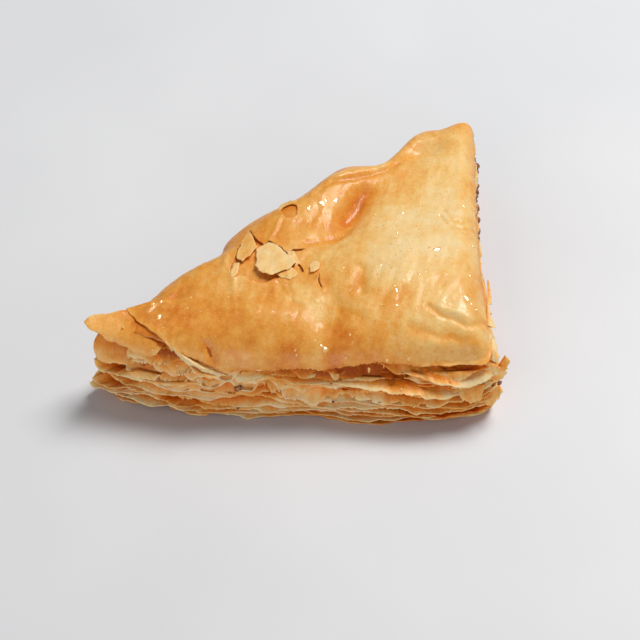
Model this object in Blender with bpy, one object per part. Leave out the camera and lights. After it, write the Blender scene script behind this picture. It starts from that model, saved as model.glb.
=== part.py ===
"""A triangular piece of baklava: lower pastry, a thin nut filling and a puffed upper pastry.

The piece lies flat, in metres, +Z up. The origin is at the middle of the underside's bounding
box. +X runs along the front cut from the pointed tip to the square corner, and +Y to the back.
Plan sizes and heights below are in millimetres. Every section is the plan outline drawn in
towards its incentre, so an inset is the same distance from all three cuts.
"""
import bmesh
import bpy
import numpy as np

MM = 0.001

# Plan of the slice
FRONT_LENGTH = 90.5            # tip to front corner
RIGHT_LENGTH = 71.5            # front corner to back corner
FRONT_CORNER_ANGLE = 80.5      # degrees between those two cuts
POINTS_PER_SIDE = {"front": 44, "right": 32, "back": 44}
CORNER_SMOOTHING = 2           # passes that round the three corners

# Stations along the cuts. Each is the side, the fraction along it, how far the cut bulges out
# of the straight line, and the crust's edge height, shoulder width and setback there
CUT_STATIONS = [
    ("front", 0.00, 0.0, 22.4, 3.0, 0.5),
    ("front", 0.06, 1.7, 20.4, 4.0, 0.5),
    ("front", 0.22, 4.8, 15.8, 8.0, 0.4),
    ("front", 0.44, 4.2, 14.0, 10.0, 0.2),
    ("front", 0.60, 3.6, 14.2, 10.0, 0.8),
    ("front", 0.74, 4.0, 15.2, 10.0, 2.6),
    ("front", 0.86, 3.9, 16.0, 9.0, 4.0),
    ("front", 0.94, 2.1, 16.2, 8.0, 3.6),
    ("right", 0.00, -0.4, 16.8, 7.0, 2.2),
    ("right", 0.10, -0.2, 17.6, 6.0, 1.6),
    ("right", 0.30, -0.6, 18.5, 5.5, 1.5),
    ("right", 0.50, -0.9, 19.0, 5.0, 1.0),
    ("right", 0.75, -0.5, 19.3, 4.5, 0.5),
    ("right", 0.92, 0.2, 19.4, 4.0, 0.3),
    ("back", 0.00, 0.2, 19.6, 4.0, 0.6),
    ("back", 0.06, 1.3, 19.2, 4.0, 0.6),
    ("back", 0.13, 2.4, 19.8, 5.0, -0.4),
    ("back", 0.22, 2.4, 18.0, 5.0, 1.9),
    ("back", 0.32, 3.4, 20.8, 6.0, -0.4),
    ("back", 0.44, 2.8, 20.0, 6.0, 0.4),
    ("back", 0.54, 2.8, 20.0, 6.0, -0.5),
    ("back", 0.62, 2.6, 20.0, 6.0, 0.6),
    ("back", 0.69, 2.2, 19.6, 5.5, 2.5),
    ("back", 0.78, 1.2, 18.8, 5.0, 1.0),
    ("back", 0.86, 0.5, 19.0, 4.0, 2.8),
    ("back", 0.91, 0.4, 19.8, 3.5, 3.2),
    ("back", 0.965, 0.6, 21.8, 3.0, -0.2),
]

# Curve of the shoulders: how fast they turn over, and how full they are
SHOULDER_TURN = 2.2
SHOULDER_FULLNESS = 0.75

# The crust inside its shoulders: a plateau with puffs and hollows.
# Each is centre x, centre y, half length, half width, direction in degrees, rise
PLATEAU_HEIGHT = 23.2
CRUST_FORMS = {
    "right_dome": (21.0, -10.0, 13.0, 17.0, 75.0, 2.8),
    "back_ridge": (3.0, 9.5, 14.0, 6.0, 44.0, 2.5),
    "middle_swell": (-8.0, -10.0, 12.0, 8.0, 25.0, 1.4),
    "middle_valley": (9.5, 1.5, 9.0, 3.4, 62.0, -2.4),
    "back_corner_hollow": (23.0, 24.0, 5.5, 2.8, 30.0, -2.0),
    "front_dip": (8.5, -26.5, 4.5, 4.0, 80.0, -1.8),
    "front_puff": (-7.5, -26.0, 6.0, 4.0, 10.0, 1.0),
    "corner_groove": (34.0, -25.5, 6.0, 2.4, 5.0, -1.2),
    "left_slope": (-36.0, -26.0, 14.0, 9.0, 30.0, -1.4),
}

# Layers: the filling and its two faces rise gently to the back
LOWER_HEIGHT = 9.0
FILLING_HEIGHT = 2.7
LAYER_GAP = 0.3
LAYER_RISE = 0.03

# Ledges of the stacked sheets: share of the layer's height, inset, waves around the outline
LOWER_LEDGES = [(0.00, 2.4, 3), (0.10, 0.8, 5), (0.20, 0.0, 0), (0.34, 1.3, 7), (0.44, 1.4, 6),
                (0.56, 0.4, 5), (0.72, 1.2, 8), (0.84, 0.4, 6), (1.00, 1.0, 4)]
FILLING_LEDGES = [(0.00, 1.1, 9), (0.50, 0.5, 7), (1.00, 1.0, 8)]
UPPER_LEDGES = [(0.00, 1.2, 5), (0.22, 0.4, 7), (0.46, 1.3, 6), (0.60, 1.5, 8), (0.80, 0.5, 5),
                (1.00, 0.0, 0)]
LEDGE_WAVE = 0.55              # share of its inset by which a ledge comes and goes
LEDGE_PHASE = 1.0              # radians round the outline at which those waves start
TIP_EASE = 0.45                # share by which the ledges fade at the narrow tip
TIP_REACH = 6.0                # outline points over which they do

# The filling: how far it stands in where it is hidden and how far it comes out where it shows,
# which is over a stretch of the right cut, and its lumps: size, waves a point, waves up its height
FILLING_INSET = 1.6
FILLING_REACH = 1.9
FILLING_SHOWS = {"fraction": 0.55, "half_length": 0.6}
FILLING_LUMPS = [(0.25, 1.7, 0.0), (0.20, 2.9, 4.0)]
LUMPS_WHERE_HIDDEN = 0.6       # share of their size

# The wide gap between sheets low in the front cut, near the front corner
LOW_GAP = {"fraction": 0.83, "half_length": 0.085, "depth": 2.6, "share": 0.39, "half_share": 0.09}

# Distances from the cuts of the rings that carry the crust's curve
CRUST_RINGS = [0.25, 0.7, 1.4, 2.4, 3.7, 5.2, 7.0, 9.0, 11.2, 13.6, 16.2, 19.0, 21.6]

SHARP_ANGLE = 40.0             # degrees between faces, over which an edge is sharp

LOOKS = {
    "lower_pastry": {"colour": (0.56, 0.31, 0.12), "roughness": 0.55},
    "nut_filling": {"colour": (0.13, 0.05, 0.02), "roughness": 0.6},
    "upper_pastry": {"colour": (0.78, 0.45, 0.15), "roughness": 0.32},
}


def plan_corners():
    """The tip, the front corner and the back corner, with the tip at zero."""
    tip = np.zeros(2)
    front_corner = np.array([FRONT_LENGTH, 0.0])
    turn = np.radians(180.0 - FRONT_CORNER_ANGLE)
    back_corner = front_corner + RIGHT_LENGTH * np.array([np.cos(turn), np.sin(turn)])
    return tip, front_corner, back_corner


def incircle(corners):
    """Centre and radius of the circle that touches the three straight cuts."""
    opposite = [np.linalg.norm(corners[(i + 1) % 3] - corners[(i + 2) % 3]) for i in range(3)]
    centre = sum(length * corner for length, corner in zip(opposite, corners)) / sum(opposite)
    edge = corners[1] - corners[0]
    span = corners[2] - corners[0]
    radius = (edge[0] * span[1] - edge[1] * span[0]) / sum(opposite)
    return centre, radius


def around(side, fraction):
    """Place on the outline as a number of points from the tip."""
    names = list(POINTS_PER_SIDE)
    before = sum(POINTS_PER_SIDE[name] for name in names[:names.index(side)])
    return before + fraction * POINTS_PER_SIDE[side]


COUNT = sum(POINTS_PER_SIDE.values())
PLACES = np.arange(COUNT)


def along_outline(column):
    """One column of the stations as a smooth closed curve through them, at every outline point."""
    places = np.array([around(side, fraction) for side, fraction, *_ in CUT_STATIONS])
    values = np.array([station[column] for station in CUT_STATIONS])
    before, after = np.roll(places, 1), np.roll(places, -1)
    before[0] -= COUNT
    after[-1] += COUNT
    slopes = (np.roll(values, -1) - np.roll(values, 1)) / (after - before)
    index = np.searchsorted(places, PLACES, side="right") - 1
    following = (index + 1) % len(places)
    span = after[index] - places[index]
    t = (PLACES - places[index]) / span
    start = values[index] * (1 + 2 * t) * (1 - t) ** 2 + slopes[index] * span * t * (1 - t) ** 2
    end = values[following] * t ** 2 * (3 - 2 * t) + slopes[following] * span * t ** 2 * (t - 1)
    return start + end


def plan_outline():
    """The outline anticlockwise from the tip, about the middle of its box, and its incircle."""
    corners = plan_corners()
    lines = []
    for number, count in enumerate(POINTS_PER_SIDE.values()):
        start, end = corners[number], corners[(number + 1) % 3]
        along = end - start
        outward = np.array([along[1], -along[0]]) / np.linalg.norm(along)
        fraction = np.arange(count)[:, None] / count
        lines.append((start + fraction * along, np.tile(outward, (count, 1))))
    straight, outward = (np.vstack(parts) for parts in zip(*lines))
    outline = straight + along_outline(2)[:, None] * outward
    for _ in range(CORNER_SMOOTHING):
        outline = 0.25 * np.roll(outline, 1, 0) + 0.5 * outline + 0.25 * np.roll(outline, -1, 0)
    centre, radius = incircle(corners)
    middle = 0.5 * (outline.min(0) + outline.max(0))
    return outline - middle, centre - middle, radius


OUTLINE, INCENTRE, INRADIUS = plan_outline()
EDGE_HEIGHT = along_outline(3)
SHOULDER_WIDTH = along_outline(4)
CRUST_SETBACK = along_outline(5)


def section(inset):
    """The outline drawn in by a distance, or by one distance for each point."""
    scale = 1.0 - np.broadcast_to(inset, COUNT) / INRADIUS
    return INCENTRE + scale[:, None] * (OUTLINE - INCENTRE)


def plateau(points):
    """Height of the crust away from its edges."""
    height = np.full(len(points), PLATEAU_HEIGHT)
    for x, y, half_length, half_width, direction, rise in CRUST_FORMS.values():
        turn = np.radians(direction)
        offset = points - np.array([x, y])
        lengthwise = (offset[:, 0] * np.cos(turn) + offset[:, 1] * np.sin(turn)) / half_length
        crosswise = (offset[:, 1] * np.cos(turn) - offset[:, 0] * np.sin(turn)) / half_width
        height += rise * np.exp(-lengthwise ** 2 - crosswise ** 2)
    return height


def crust_height(points, distance):
    """The crust rises from its edge to the plateau over a rounded shoulder."""
    share = np.clip(distance / SHOULDER_WIDTH, 0.0, 1.0)
    rise = (1.0 - (1.0 - share) ** SHOULDER_TURN) ** SHOULDER_FULLNESS
    return EDGE_HEIGHT + (plateau(points) - EDGE_HEIGHT) * rise


def layer_plane(points, height):
    """Height of a plane of the stack, which rises to the back."""
    return height + LAYER_RISE * points[:, 1]


def ring(points, heights):
    return np.column_stack([points, np.broadcast_to(heights, len(points))])


def ledge_rings(ledges, bottom, top, insets):
    """Rings up the cut faces. Bottom and top give each point's height, insets its drawing in."""
    from_tip = np.minimum(PLACES, COUNT - PLACES)
    ease = 1.0 - TIP_EASE * np.exp(-(from_tip / TIP_REACH) ** 2)
    rings = []
    for share, inset, waves in ledges:
        wave = 1.0 + LEDGE_WAVE * np.sin(waves * (2 * np.pi * PLACES / COUNT + LEDGE_PHASE))
        points = section(inset * wave * ease + insets(share))
        low = bottom(points)
        rings.append(ring(points, low + share * (top(points) - low)))
    return rings


def low_gap(share):
    """How far the wide low gap between sheets draws the front cut in."""
    place = around("front", LOW_GAP["fraction"])
    half_length = LOW_GAP["half_length"] * POINTS_PER_SIDE["front"]
    lens = np.clip(1.0 - ((PLACES - place) / half_length) ** 2, 0.0, 1.0)
    opening = max(0.0, 1.0 - abs(share - LOW_GAP["share"]) / LOW_GAP["half_share"])
    return LOW_GAP["depth"] * lens * opening


def filling_inset(share):
    """The filling shows at the right cut and stays further back at the other two."""
    middle = around("right", FILLING_SHOWS["fraction"])
    half_length = FILLING_SHOWS["half_length"] * POINTS_PER_SIDE["right"]
    near = np.clip(1.0 - abs(PLACES - middle) / half_length, 0.0, 1.0)
    shown = near * near * (3.0 - 2.0 * near)
    lumps = sum(size * np.sin(along * PLACES + up * share) for size, along, up in FILLING_LUMPS)
    return FILLING_INSET - FILLING_REACH * shown + lumps * (
        LUMPS_WHERE_HIDDEN + (1.0 - LUMPS_WHERE_HIDDEN) * shown)


def crust_setback(share):
    """The crust's edge stands back from the sheets below it, more so to the right."""
    return CRUST_SETBACK * share


def loft(name, rings, last_centre):
    """A closed solid through the rings, capped by a fan below the first and above the last."""
    mesh = bpy.data.meshes.new(name)
    build = bmesh.new()
    rows = [[build.verts.new(point * MM) for point in row] for row in rings]
    first_centre = build.verts.new(rings[0].mean(0) * MM)
    end = build.verts.new(last_centre * MM)
    for i in range(COUNT):
        j = (i + 1) % COUNT
        build.faces.new((first_centre, rows[0][j], rows[0][i]))
        for lower, upper in zip(rows, rows[1:]):
            build.faces.new((lower[i], lower[j], upper[j], upper[i]))
        build.faces.new((rows[-1][i], rows[-1][j], end))
    build.to_mesh(mesh)
    build.free()
    mesh.shade_smooth()
    mesh.set_sharp_from_angle(angle=np.radians(SHARP_ANGLE))
    return bpy.data.objects.new(name, mesh)


def pastry_material(name):
    look = LOOKS[name]
    material = bpy.data.materials.new(name)
    material.use_nodes = True
    shader = material.node_tree.nodes["Principled BSDF"]
    shader.inputs["Base Color"].default_value = (*look["colour"], 1.0)
    shader.inputs["Roughness"].default_value = look["roughness"]
    shader.inputs["Metallic"].default_value = 0.0
    material.diffuse_color = (*look["colour"], 1.0)
    return material


def centre_on_plane(height):
    return np.append(INCENTRE, layer_plane(INCENTRE[None, :], height)[0])


def lower_pastry():
    """The flat stack of sheets under the filling."""
    rings = ledge_rings(LOWER_LEDGES, lambda points: np.zeros(len(points)),
                        lambda points: layer_plane(points, LOWER_HEIGHT), low_gap)
    return loft("lower_pastry", rings, centre_on_plane(LOWER_HEIGHT))


def nut_filling():
    """The thin layer of chopped nuts."""
    bottom = LOWER_HEIGHT + LAYER_GAP
    top = bottom + FILLING_HEIGHT
    rings = ledge_rings(FILLING_LEDGES, lambda points: layer_plane(points, bottom),
                        lambda points: layer_plane(points, top), filling_inset)
    return loft("nut_filling", rings, centre_on_plane(top))


def upper_pastry():
    """The stack over the filling, with the puffed crust as its top."""
    bottom = LOWER_HEIGHT + FILLING_HEIGHT + 2 * LAYER_GAP
    rings = ledge_rings(UPPER_LEDGES, lambda points: layer_plane(points, bottom),
                        lambda points: EDGE_HEIGHT, crust_setback)
    for distance in CRUST_RINGS:
        points = section(CRUST_SETBACK + distance * (1.0 - CRUST_SETBACK / INRADIUS))
        rings.append(ring(points, crust_height(points, distance)))
    summit = np.append(INCENTRE, plateau(INCENTRE[None, :])[0])
    return loft("upper_pastry", rings, summit)


def main():
    for old in list(bpy.data.objects):
        bpy.data.objects.remove(old, do_unlink=True)
    collection = bpy.data.collections.new("baklava_piece")
    bpy.context.scene.collection.children.link(collection)
    for build_layer in (lower_pastry, nut_filling, upper_pastry):
        layer = build_layer()
        layer.data.materials.append(pastry_material(layer.name))
        collection.objects.link(layer)


main()
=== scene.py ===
"""The looks of a triangular piece of baklava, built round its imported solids.

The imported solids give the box, the layers and the body that everything rides on. The form below
(the plan outline, the crust's heights, its puffs and hollows) is the same as theirs, in the same
frame, and is sampled far more finely. Lengths are in millimetres until a mesh is made.
"""
import math

import bpy
import numpy as np
from mathutils import Matrix, Vector
from mathutils.geometry import delaunay_2d_cdt


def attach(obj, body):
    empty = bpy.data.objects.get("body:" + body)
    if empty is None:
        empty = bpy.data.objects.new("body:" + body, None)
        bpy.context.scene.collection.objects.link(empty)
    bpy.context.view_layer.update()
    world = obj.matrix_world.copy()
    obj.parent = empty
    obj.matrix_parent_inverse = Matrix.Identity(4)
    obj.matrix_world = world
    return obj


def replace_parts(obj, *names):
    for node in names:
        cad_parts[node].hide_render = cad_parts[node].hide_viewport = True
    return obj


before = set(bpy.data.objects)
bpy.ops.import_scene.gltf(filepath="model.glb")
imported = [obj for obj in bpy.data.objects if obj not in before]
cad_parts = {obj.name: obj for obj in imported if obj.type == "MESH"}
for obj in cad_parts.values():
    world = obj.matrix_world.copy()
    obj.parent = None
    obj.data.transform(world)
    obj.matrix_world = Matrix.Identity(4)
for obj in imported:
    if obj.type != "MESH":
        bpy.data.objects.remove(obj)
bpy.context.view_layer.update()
MM = 0.001

# ---------------------------------------------------------------------------------------------
# The form, as in the solids
# ---------------------------------------------------------------------------------------------
FRONT_LENGTH = 90.5
RIGHT_LENGTH = 71.5
FRONT_CORNER_ANGLE = 80.5
POINTS_PER_SIDE = {"front": 44, "right": 32, "back": 44}
CORNER_SMOOTHING = 2

# Side, fraction along it, bulge, crust edge height, shoulder width, crust setback
CUT_STATIONS = [
    ("front", 0.00, 0.0, 22.4, 3.0, 0.5),
    ("front", 0.06, 1.7, 20.4, 4.0, 0.5),
    ("front", 0.22, 4.8, 15.8, 8.0, 0.4),
    ("front", 0.44, 4.2, 14.0, 10.0, 0.2),
    ("front", 0.60, 3.6, 14.2, 10.0, 0.8),
    ("front", 0.74, 4.0, 15.2, 10.0, 2.6),
    ("front", 0.86, 3.9, 16.0, 9.0, 4.0),
    ("front", 0.94, 2.1, 16.2, 8.0, 3.6),
    ("right", 0.00, -0.4, 16.8, 7.0, 2.2),
    ("right", 0.10, -0.2, 17.6, 6.0, 1.6),
    ("right", 0.30, -0.6, 18.5, 5.5, 1.5),
    ("right", 0.50, -0.9, 19.0, 5.0, 1.0),
    ("right", 0.75, -0.5, 19.3, 4.5, 0.5),
    ("right", 0.92, 0.2, 19.4, 4.0, 0.3),
    ("back", 0.00, 0.2, 19.6, 4.0, 0.6),
    ("back", 0.06, 1.3, 19.2, 4.0, 0.6),
    ("back", 0.13, 2.4, 19.8, 5.0, -0.4),
    ("back", 0.22, 2.4, 18.0, 5.0, 1.9),
    ("back", 0.32, 3.4, 20.8, 6.0, -0.4),
    ("back", 0.44, 2.8, 20.0, 6.0, 0.4),
    ("back", 0.54, 2.8, 20.0, 6.0, -0.5),
    ("back", 0.62, 2.6, 20.0, 6.0, 0.6),
    ("back", 0.69, 2.2, 19.6, 5.5, 2.5),
    ("back", 0.78, 1.2, 18.8, 5.0, 1.0),
    ("back", 0.86, 0.5, 19.0, 4.0, 1.9),
    ("back", 0.91, 0.4, 19.8, 3.5, 2.8),
    ("back", 0.965, 0.6, 21.8, 3.0, -0.2),
]

# Centre x, centre y, half length, half width, direction in degrees, rise
PLATEAU_HEIGHT = 23.2
CRUST_FORMS = {
    "right_dome": (21.0, -10.0, 13.0, 17.0, 75.0, 2.8),
    "back_ridge": (3.0, 9.5, 14.0, 6.0, 44.0, 2.5),
    "middle_swell": (-8.0, -10.0, 12.0, 8.0, 25.0, 1.4),
    "middle_valley": (9.5, 1.5, 9.0, 3.4, 62.0, -2.4),
    "back_corner_hollow": (23.0, 24.0, 5.5, 2.8, 30.0, -2.0),
    "front_dip": (8.5, -26.5, 4.5, 4.0, 80.0, -1.8),
    "front_puff": (-7.5, -26.0, 6.0, 4.0, 10.0, 1.0),
    "corner_groove": (34.0, -25.5, 6.0, 2.4, 5.0, -1.2),
    "left_slope": (-36.0, -26.0, 14.0, 9.0, 30.0, -1.4),
}

COUNT = sum(POINTS_PER_SIDE.values())


def around(side, fraction):
    """Place on the outline as a number of the solids' points from the tip."""
    names = list(POINTS_PER_SIDE)
    before = sum(POINTS_PER_SIDE[name] for name in names[:names.index(side)])
    return before + fraction * POINTS_PER_SIDE[side]


def closed_curve(places, values, at):
    """A smooth closed curve through values at rising places, read at other places."""
    at = np.asarray(at, float) % COUNT
    before, after = np.roll(places, 1), np.roll(places, -1)
    before[0] -= COUNT
    after[-1] += COUNT
    slopes = (np.roll(values, -1, 0) - np.roll(values, 1, 0)) / (after - before)[:, None]
    index = np.clip(np.searchsorted(places, at, side="right") - 1, 0, len(places) - 1)
    following = (index + 1) % len(places)
    span = (after[index] - places[index])[:, None]
    t = (at[:, None] - places[index][:, None]) / span
    start = values[index] * (1 + 2 * t) * (1 - t) ** 2 + slopes[index] * span * t * (1 - t) ** 2
    end = values[following] * t ** 2 * (3 - 2 * t) + slopes[following] * span * t ** 2 * (t - 1)
    return start + end


STATION_PLACES = np.array([around(side, fraction) for side, fraction, *_ in CUT_STATIONS])
STATION_VALUES = np.array([station[2:] for station in CUT_STATIONS])


def along_outline(column, at):
    return closed_curve(STATION_PLACES, STATION_VALUES[:, column:column + 1], at)[:, 0]


def plan_form():
    """The solids' outline points, and the centre and radius of the plan's incircle."""
    turn = math.radians(180.0 - FRONT_CORNER_ANGLE)
    front_corner = np.array([FRONT_LENGTH, 0.0])
    back_corner = front_corner + RIGHT_LENGTH * np.array([math.cos(turn), math.sin(turn)])
    corners = [np.zeros(2), front_corner, back_corner]
    straight, outward = [], []
    for number, count in enumerate(POINTS_PER_SIDE.values()):
        start, end = corners[number], corners[(number + 1) % 3]
        along = end - start
        straight.append(start + np.arange(count)[:, None] / count * along)
        normal = np.array([along[1], -along[0]]) / np.linalg.norm(along)
        outward.append(np.tile(normal, (count, 1)))
    bulge = along_outline(0, np.arange(COUNT))[:, None]
    outline = np.vstack(straight) + bulge * np.vstack(outward)
    for _ in range(CORNER_SMOOTHING):
        outline = 0.25 * np.roll(outline, 1, 0) + 0.5 * outline + 0.25 * np.roll(outline, -1, 0)
    opposite = [np.linalg.norm(corners[(i + 1) % 3] - corners[(i + 2) % 3]) for i in range(3)]
    centre = sum(length * corner for length, corner in zip(opposite, corners)) / sum(opposite)
    radius = (front_corner[0] * back_corner[1]) / sum(opposite)
    middle = 0.5 * (outline.min(0) + outline.max(0))
    return outline - middle, centre - middle, radius


OUTLINE, INCENTRE, INRADIUS = plan_form()


def outline_at(places):
    return closed_curve(np.arange(COUNT, dtype=float), OUTLINE, places)


def section(places, inset):
    """The outline drawn in by a distance, at the given places round it."""
    scale = 1.0 - np.asarray(inset) / INRADIUS
    return INCENTRE + np.broadcast_to(scale, len(places))[:, None] * (outline_at(places) - INCENTRE)


FINE_PLACES = np.arange(0, COUNT, 0.05)
FINE_POLAR = outline_at(FINE_PLACES) - INCENTRE
FINE_ANGLE = np.unwrap(np.arctan2(FINE_POLAR[:, 1], FINE_POLAR[:, 0]))
FINE_RADIUS = np.hypot(FINE_POLAR[:, 0], FINE_POLAR[:, 1])


def place_and_inset(points):
    """For each point of the plan, its place round the outline and its distance in from it."""
    offset = points - INCENTRE
    angle = np.arctan2(offset[:, 1], offset[:, 0])
    angle = FINE_ANGLE[0] + (angle - FINE_ANGLE[0]) % (2 * np.pi)
    places = np.interp(angle, FINE_ANGLE, FINE_PLACES)
    radius = np.interp(angle, FINE_ANGLE, FINE_RADIUS)
    return places, (1.0 - np.hypot(offset[:, 0], offset[:, 1]) / radius) * INRADIUS


def form_at(points, x, y, half_length, half_width, direction):
    """A soft oval hill of height 1."""
    turn = math.radians(direction)
    offset = points - np.array([x, y])
    lengthwise = (offset[:, 0] * math.cos(turn) + offset[:, 1] * math.sin(turn)) / half_length
    crosswise = (offset[:, 1] * math.cos(turn) - offset[:, 0] * math.sin(turn)) / half_width
    return np.exp(-lengthwise ** 2 - crosswise ** 2)


def plateau(points):
    height = np.full(len(points), PLATEAU_HEIGHT)
    for *shape, rise in CRUST_FORMS.values():
        height += rise * form_at(points, *shape)
    return height


def stack_height(points, places, inset, softness=1.0):
    """Top of the stack. Softness over 1 gives the gentler shoulder of the sheets further down."""
    setback = along_outline(3, places)
    distance = (inset - setback) / (1.0 - setback / INRADIUS)
    edge = along_outline(1, places)
    share = np.clip(distance / along_outline(2, places), 0.0, 1.0)
    rise = (1.0 - (1.0 - share) ** 2.2) ** 0.75
    beyond = np.clip(-distance, 0.0, None)
    return edge + (plateau(points) - edge) * rise ** softness - 0.35 * beyond


# ---------------------------------------------------------------------------------------------
# Noise
# ---------------------------------------------------------------------------------------------
def lattice_angle(cell_x, cell_y, seed):
    """A repeatable angle for each cell of a grid."""
    mixed = (cell_x * 374761393 + cell_y * 668265263 + seed * 974634777) & 0xFFFFFFFF
    mixed = ((mixed ^ (mixed >> 13)) * 1274126177) & 0xFFFFFFFF
    return ((mixed ^ (mixed >> 16)) & 0xFFFF) * (2 * np.pi / 65536.0)


def noise(points, size, seed):
    """Smooth noise from about -1 to 1, with features of that size."""
    scaled = points / size
    cell = np.floor(scaled).astype(np.int64)
    part = scaled - cell
    blend = part ** 3 * (part * (part * 6 - 15) + 10)
    total = np.zeros(len(points))
    for step_x in (0, 1):
        for step_y in (0, 1):
            angle = lattice_angle(cell[:, 0] + step_x, cell[:, 1] + step_y, seed)
            slope = (part[:, 0] - step_x) * np.cos(angle) + (part[:, 1] - step_y) * np.sin(angle)
            weight = (blend[:, 0] if step_x else 1 - blend[:, 0])
            total += weight * (blend[:, 1] if step_y else 1 - blend[:, 1]) * slope
    return 1.55 * total


def rough(points, size, seed, octaves=3):
    return sum(0.5 ** i * noise(points, size * 0.5 ** i, seed + 31 * i) for i in range(octaves))


def stretched(points, direction, stretch):
    """Points squeezed along a direction, so that noise read at them is drawn out along it."""
    turn = math.radians(direction)
    along = points[:, 0] * math.cos(turn) + points[:, 1] * math.sin(turn)
    across = points[:, 1] * math.cos(turn) - points[:, 0] * math.sin(turn)
    return np.column_stack([along / stretch, across])


def smooth_step(low, high, value):
    t = np.clip((value - low) / (high - low), 0.0, 1.0)
    return t * t * (3 - 2 * t)


# ---------------------------------------------------------------------------------------------
# Meshes
# ---------------------------------------------------------------------------------------------
def make_piece(name, points, faces, material, attributes=None):
    """A smooth-shaded piece from points in millimetres, which rides on the one body."""
    mesh = bpy.data.meshes.new(name)
    faces = faces.tolist() if isinstance(faces, np.ndarray) else faces
    mesh.from_pydata((np.asarray(points) * MM).tolist(), [], faces)
    for label, values in (attributes or {}).items():
        layer = mesh.attributes.new(label, "FLOAT", "POINT")
        layer.data.foreach_set("value", np.asarray(values, np.float32))
    mesh.shade_smooth()
    mesh.materials.append(material)
    piece = bpy.data.objects.new(name, mesh)
    bpy.context.scene.collection.objects.link(piece)
    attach(piece, "root")
    return piece


class Gathered:
    """Several small meshes gathered into one, with their attributes."""

    def __init__(self):
        self.points, self.faces, self.attributes, self.count = [], [], {}, 0

    def add(self, points, faces, **attributes):
        self.points.append(points)
        self.faces.append(np.asarray(faces) + self.count)
        for label, values in attributes.items():
            spread = np.broadcast_to(np.asarray(values, float), len(points))
            self.attributes.setdefault(label, []).append(spread)
        self.count += len(points)

    def piece(self, name, material, slot):
        attributes = {label: np.concatenate(rows) for label, rows in self.attributes.items()}
        faces = [face for rows in self.faces for face in rows.tolist()]
        return make_piece(name, np.vstack(self.points), faces, material, attributes)


def ring_faces(rings, count):
    """Quads between rings of count points each, the rings closed on themselves."""
    i = np.arange(count)
    j = (i + 1) % count
    rows = [np.column_stack([r * count + i, r * count + j, (r + 1) * count + j, (r + 1) * count + i])
            for r in range(rings - 1)]
    return np.vstack(rows)


def inside(points, polygon):
    """Which points lie inside a polygon."""
    x, y = points[:, 0], points[:, 1]
    found = np.zeros(len(points), bool)
    for (ax, ay), (bx, by) in zip(polygon, np.roll(polygon, -1, 0)):
        if ay != by:
            crosses = (ay > y) != (by > y)
            found ^= crosses & (x < ax + (y - ay) * (bx - ax) / (by - ay))
    return found


def ragged(polygon, step, depth, seed, closed=True):
    """A polygon or line with points every step, and its edges made uneven."""
    polygon = np.asarray(polygon, float)
    ends = np.roll(polygon, -1, 0) if closed else polygon[1:]
    rows = []
    for start, end in zip(polygon, ends):
        count = max(1, int(np.linalg.norm(end - start) / step))
        rows.append(start + np.arange(count)[:, None] / count * (end - start))
    if not closed:
        rows.append(polygon[-1:])
    line = np.vstack(rows)
    shift = np.column_stack([rough(line, 1.6, seed), rough(line, 1.6, seed + 7)])
    return line + depth * shift


def fill(boundary, holes, spacing, extra=None, seed=1):
    """Triangles inside a boundary and outside the holes, with an even spread of points."""
    low, high = boundary.min(0), boundary.max(0)
    rows = np.arange(low[1], high[1], spacing * 0.866)
    columns = np.arange(low[0], high[0], spacing)
    x, y = np.meshgrid(columns, rows)
    x = x + (np.arange(len(rows)) % 2)[:, None] * 0.5 * spacing
    grid = np.column_stack([x.ravel(), y.ravel()])
    jitter = np.column_stack([noise(grid, 0.7 * spacing, seed), noise(grid, 0.7 * spacing, seed + 5)])
    grid = grid + 0.25 * spacing * jitter
    keep = inside(grid, boundary)
    for hole in holes:
        keep &= ~inside(grid, hole)
    loops = [boundary, *holes]
    points, faces, edges, start = [], [], [], 0
    for loop in loops:
        points.append(loop)
        number = np.arange(len(loop)) + start
        edges += np.column_stack([number, np.roll(number, -1)]).tolist()
        start += len(loop)
    points.append(grid[keep])
    if extra is not None:
        points.append(extra)
    vertices = [Vector(point) for point in np.vstack(points).tolist()]
    found = delaunay_2d_cdt(vertices, edges, [list(range(len(boundary)))], 1, 1e-5)
    flat = np.array([tuple(v) for v in found[0]])
    faces = np.array([face for face in found[2] if len(face) == 3])
    centres = flat[faces].mean(1)
    for hole in holes:
        outside = ~inside(centres, hole)
        faces, centres = faces[outside], centres[outside]
    used, index = np.unique(faces, return_inverse=True)
    return flat[used], index.reshape(-1, 3)


def thicken(piece, thickness):
    """Real thickness, below the surface as modelled."""
    solid = piece.modifiers.new("thickness", "SOLIDIFY")
    solid.thickness = thickness * MM
    solid.offset = -1.0
    solid.use_quality_normals = True
    return piece


# ---------------------------------------------------------------------------------------------
# Materials
# ---------------------------------------------------------------------------------------------
def colour(red, green, blue):
    """A colour from its usual 0 to 255 values, as the shader needs it."""
    values = [channel / 255.0 for channel in (red, green, blue)]
    return tuple(v / 12.92 if v <= 0.04045 else ((v + 0.055) / 1.055) ** 2.4 for v in values) + (1.0,)


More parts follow.
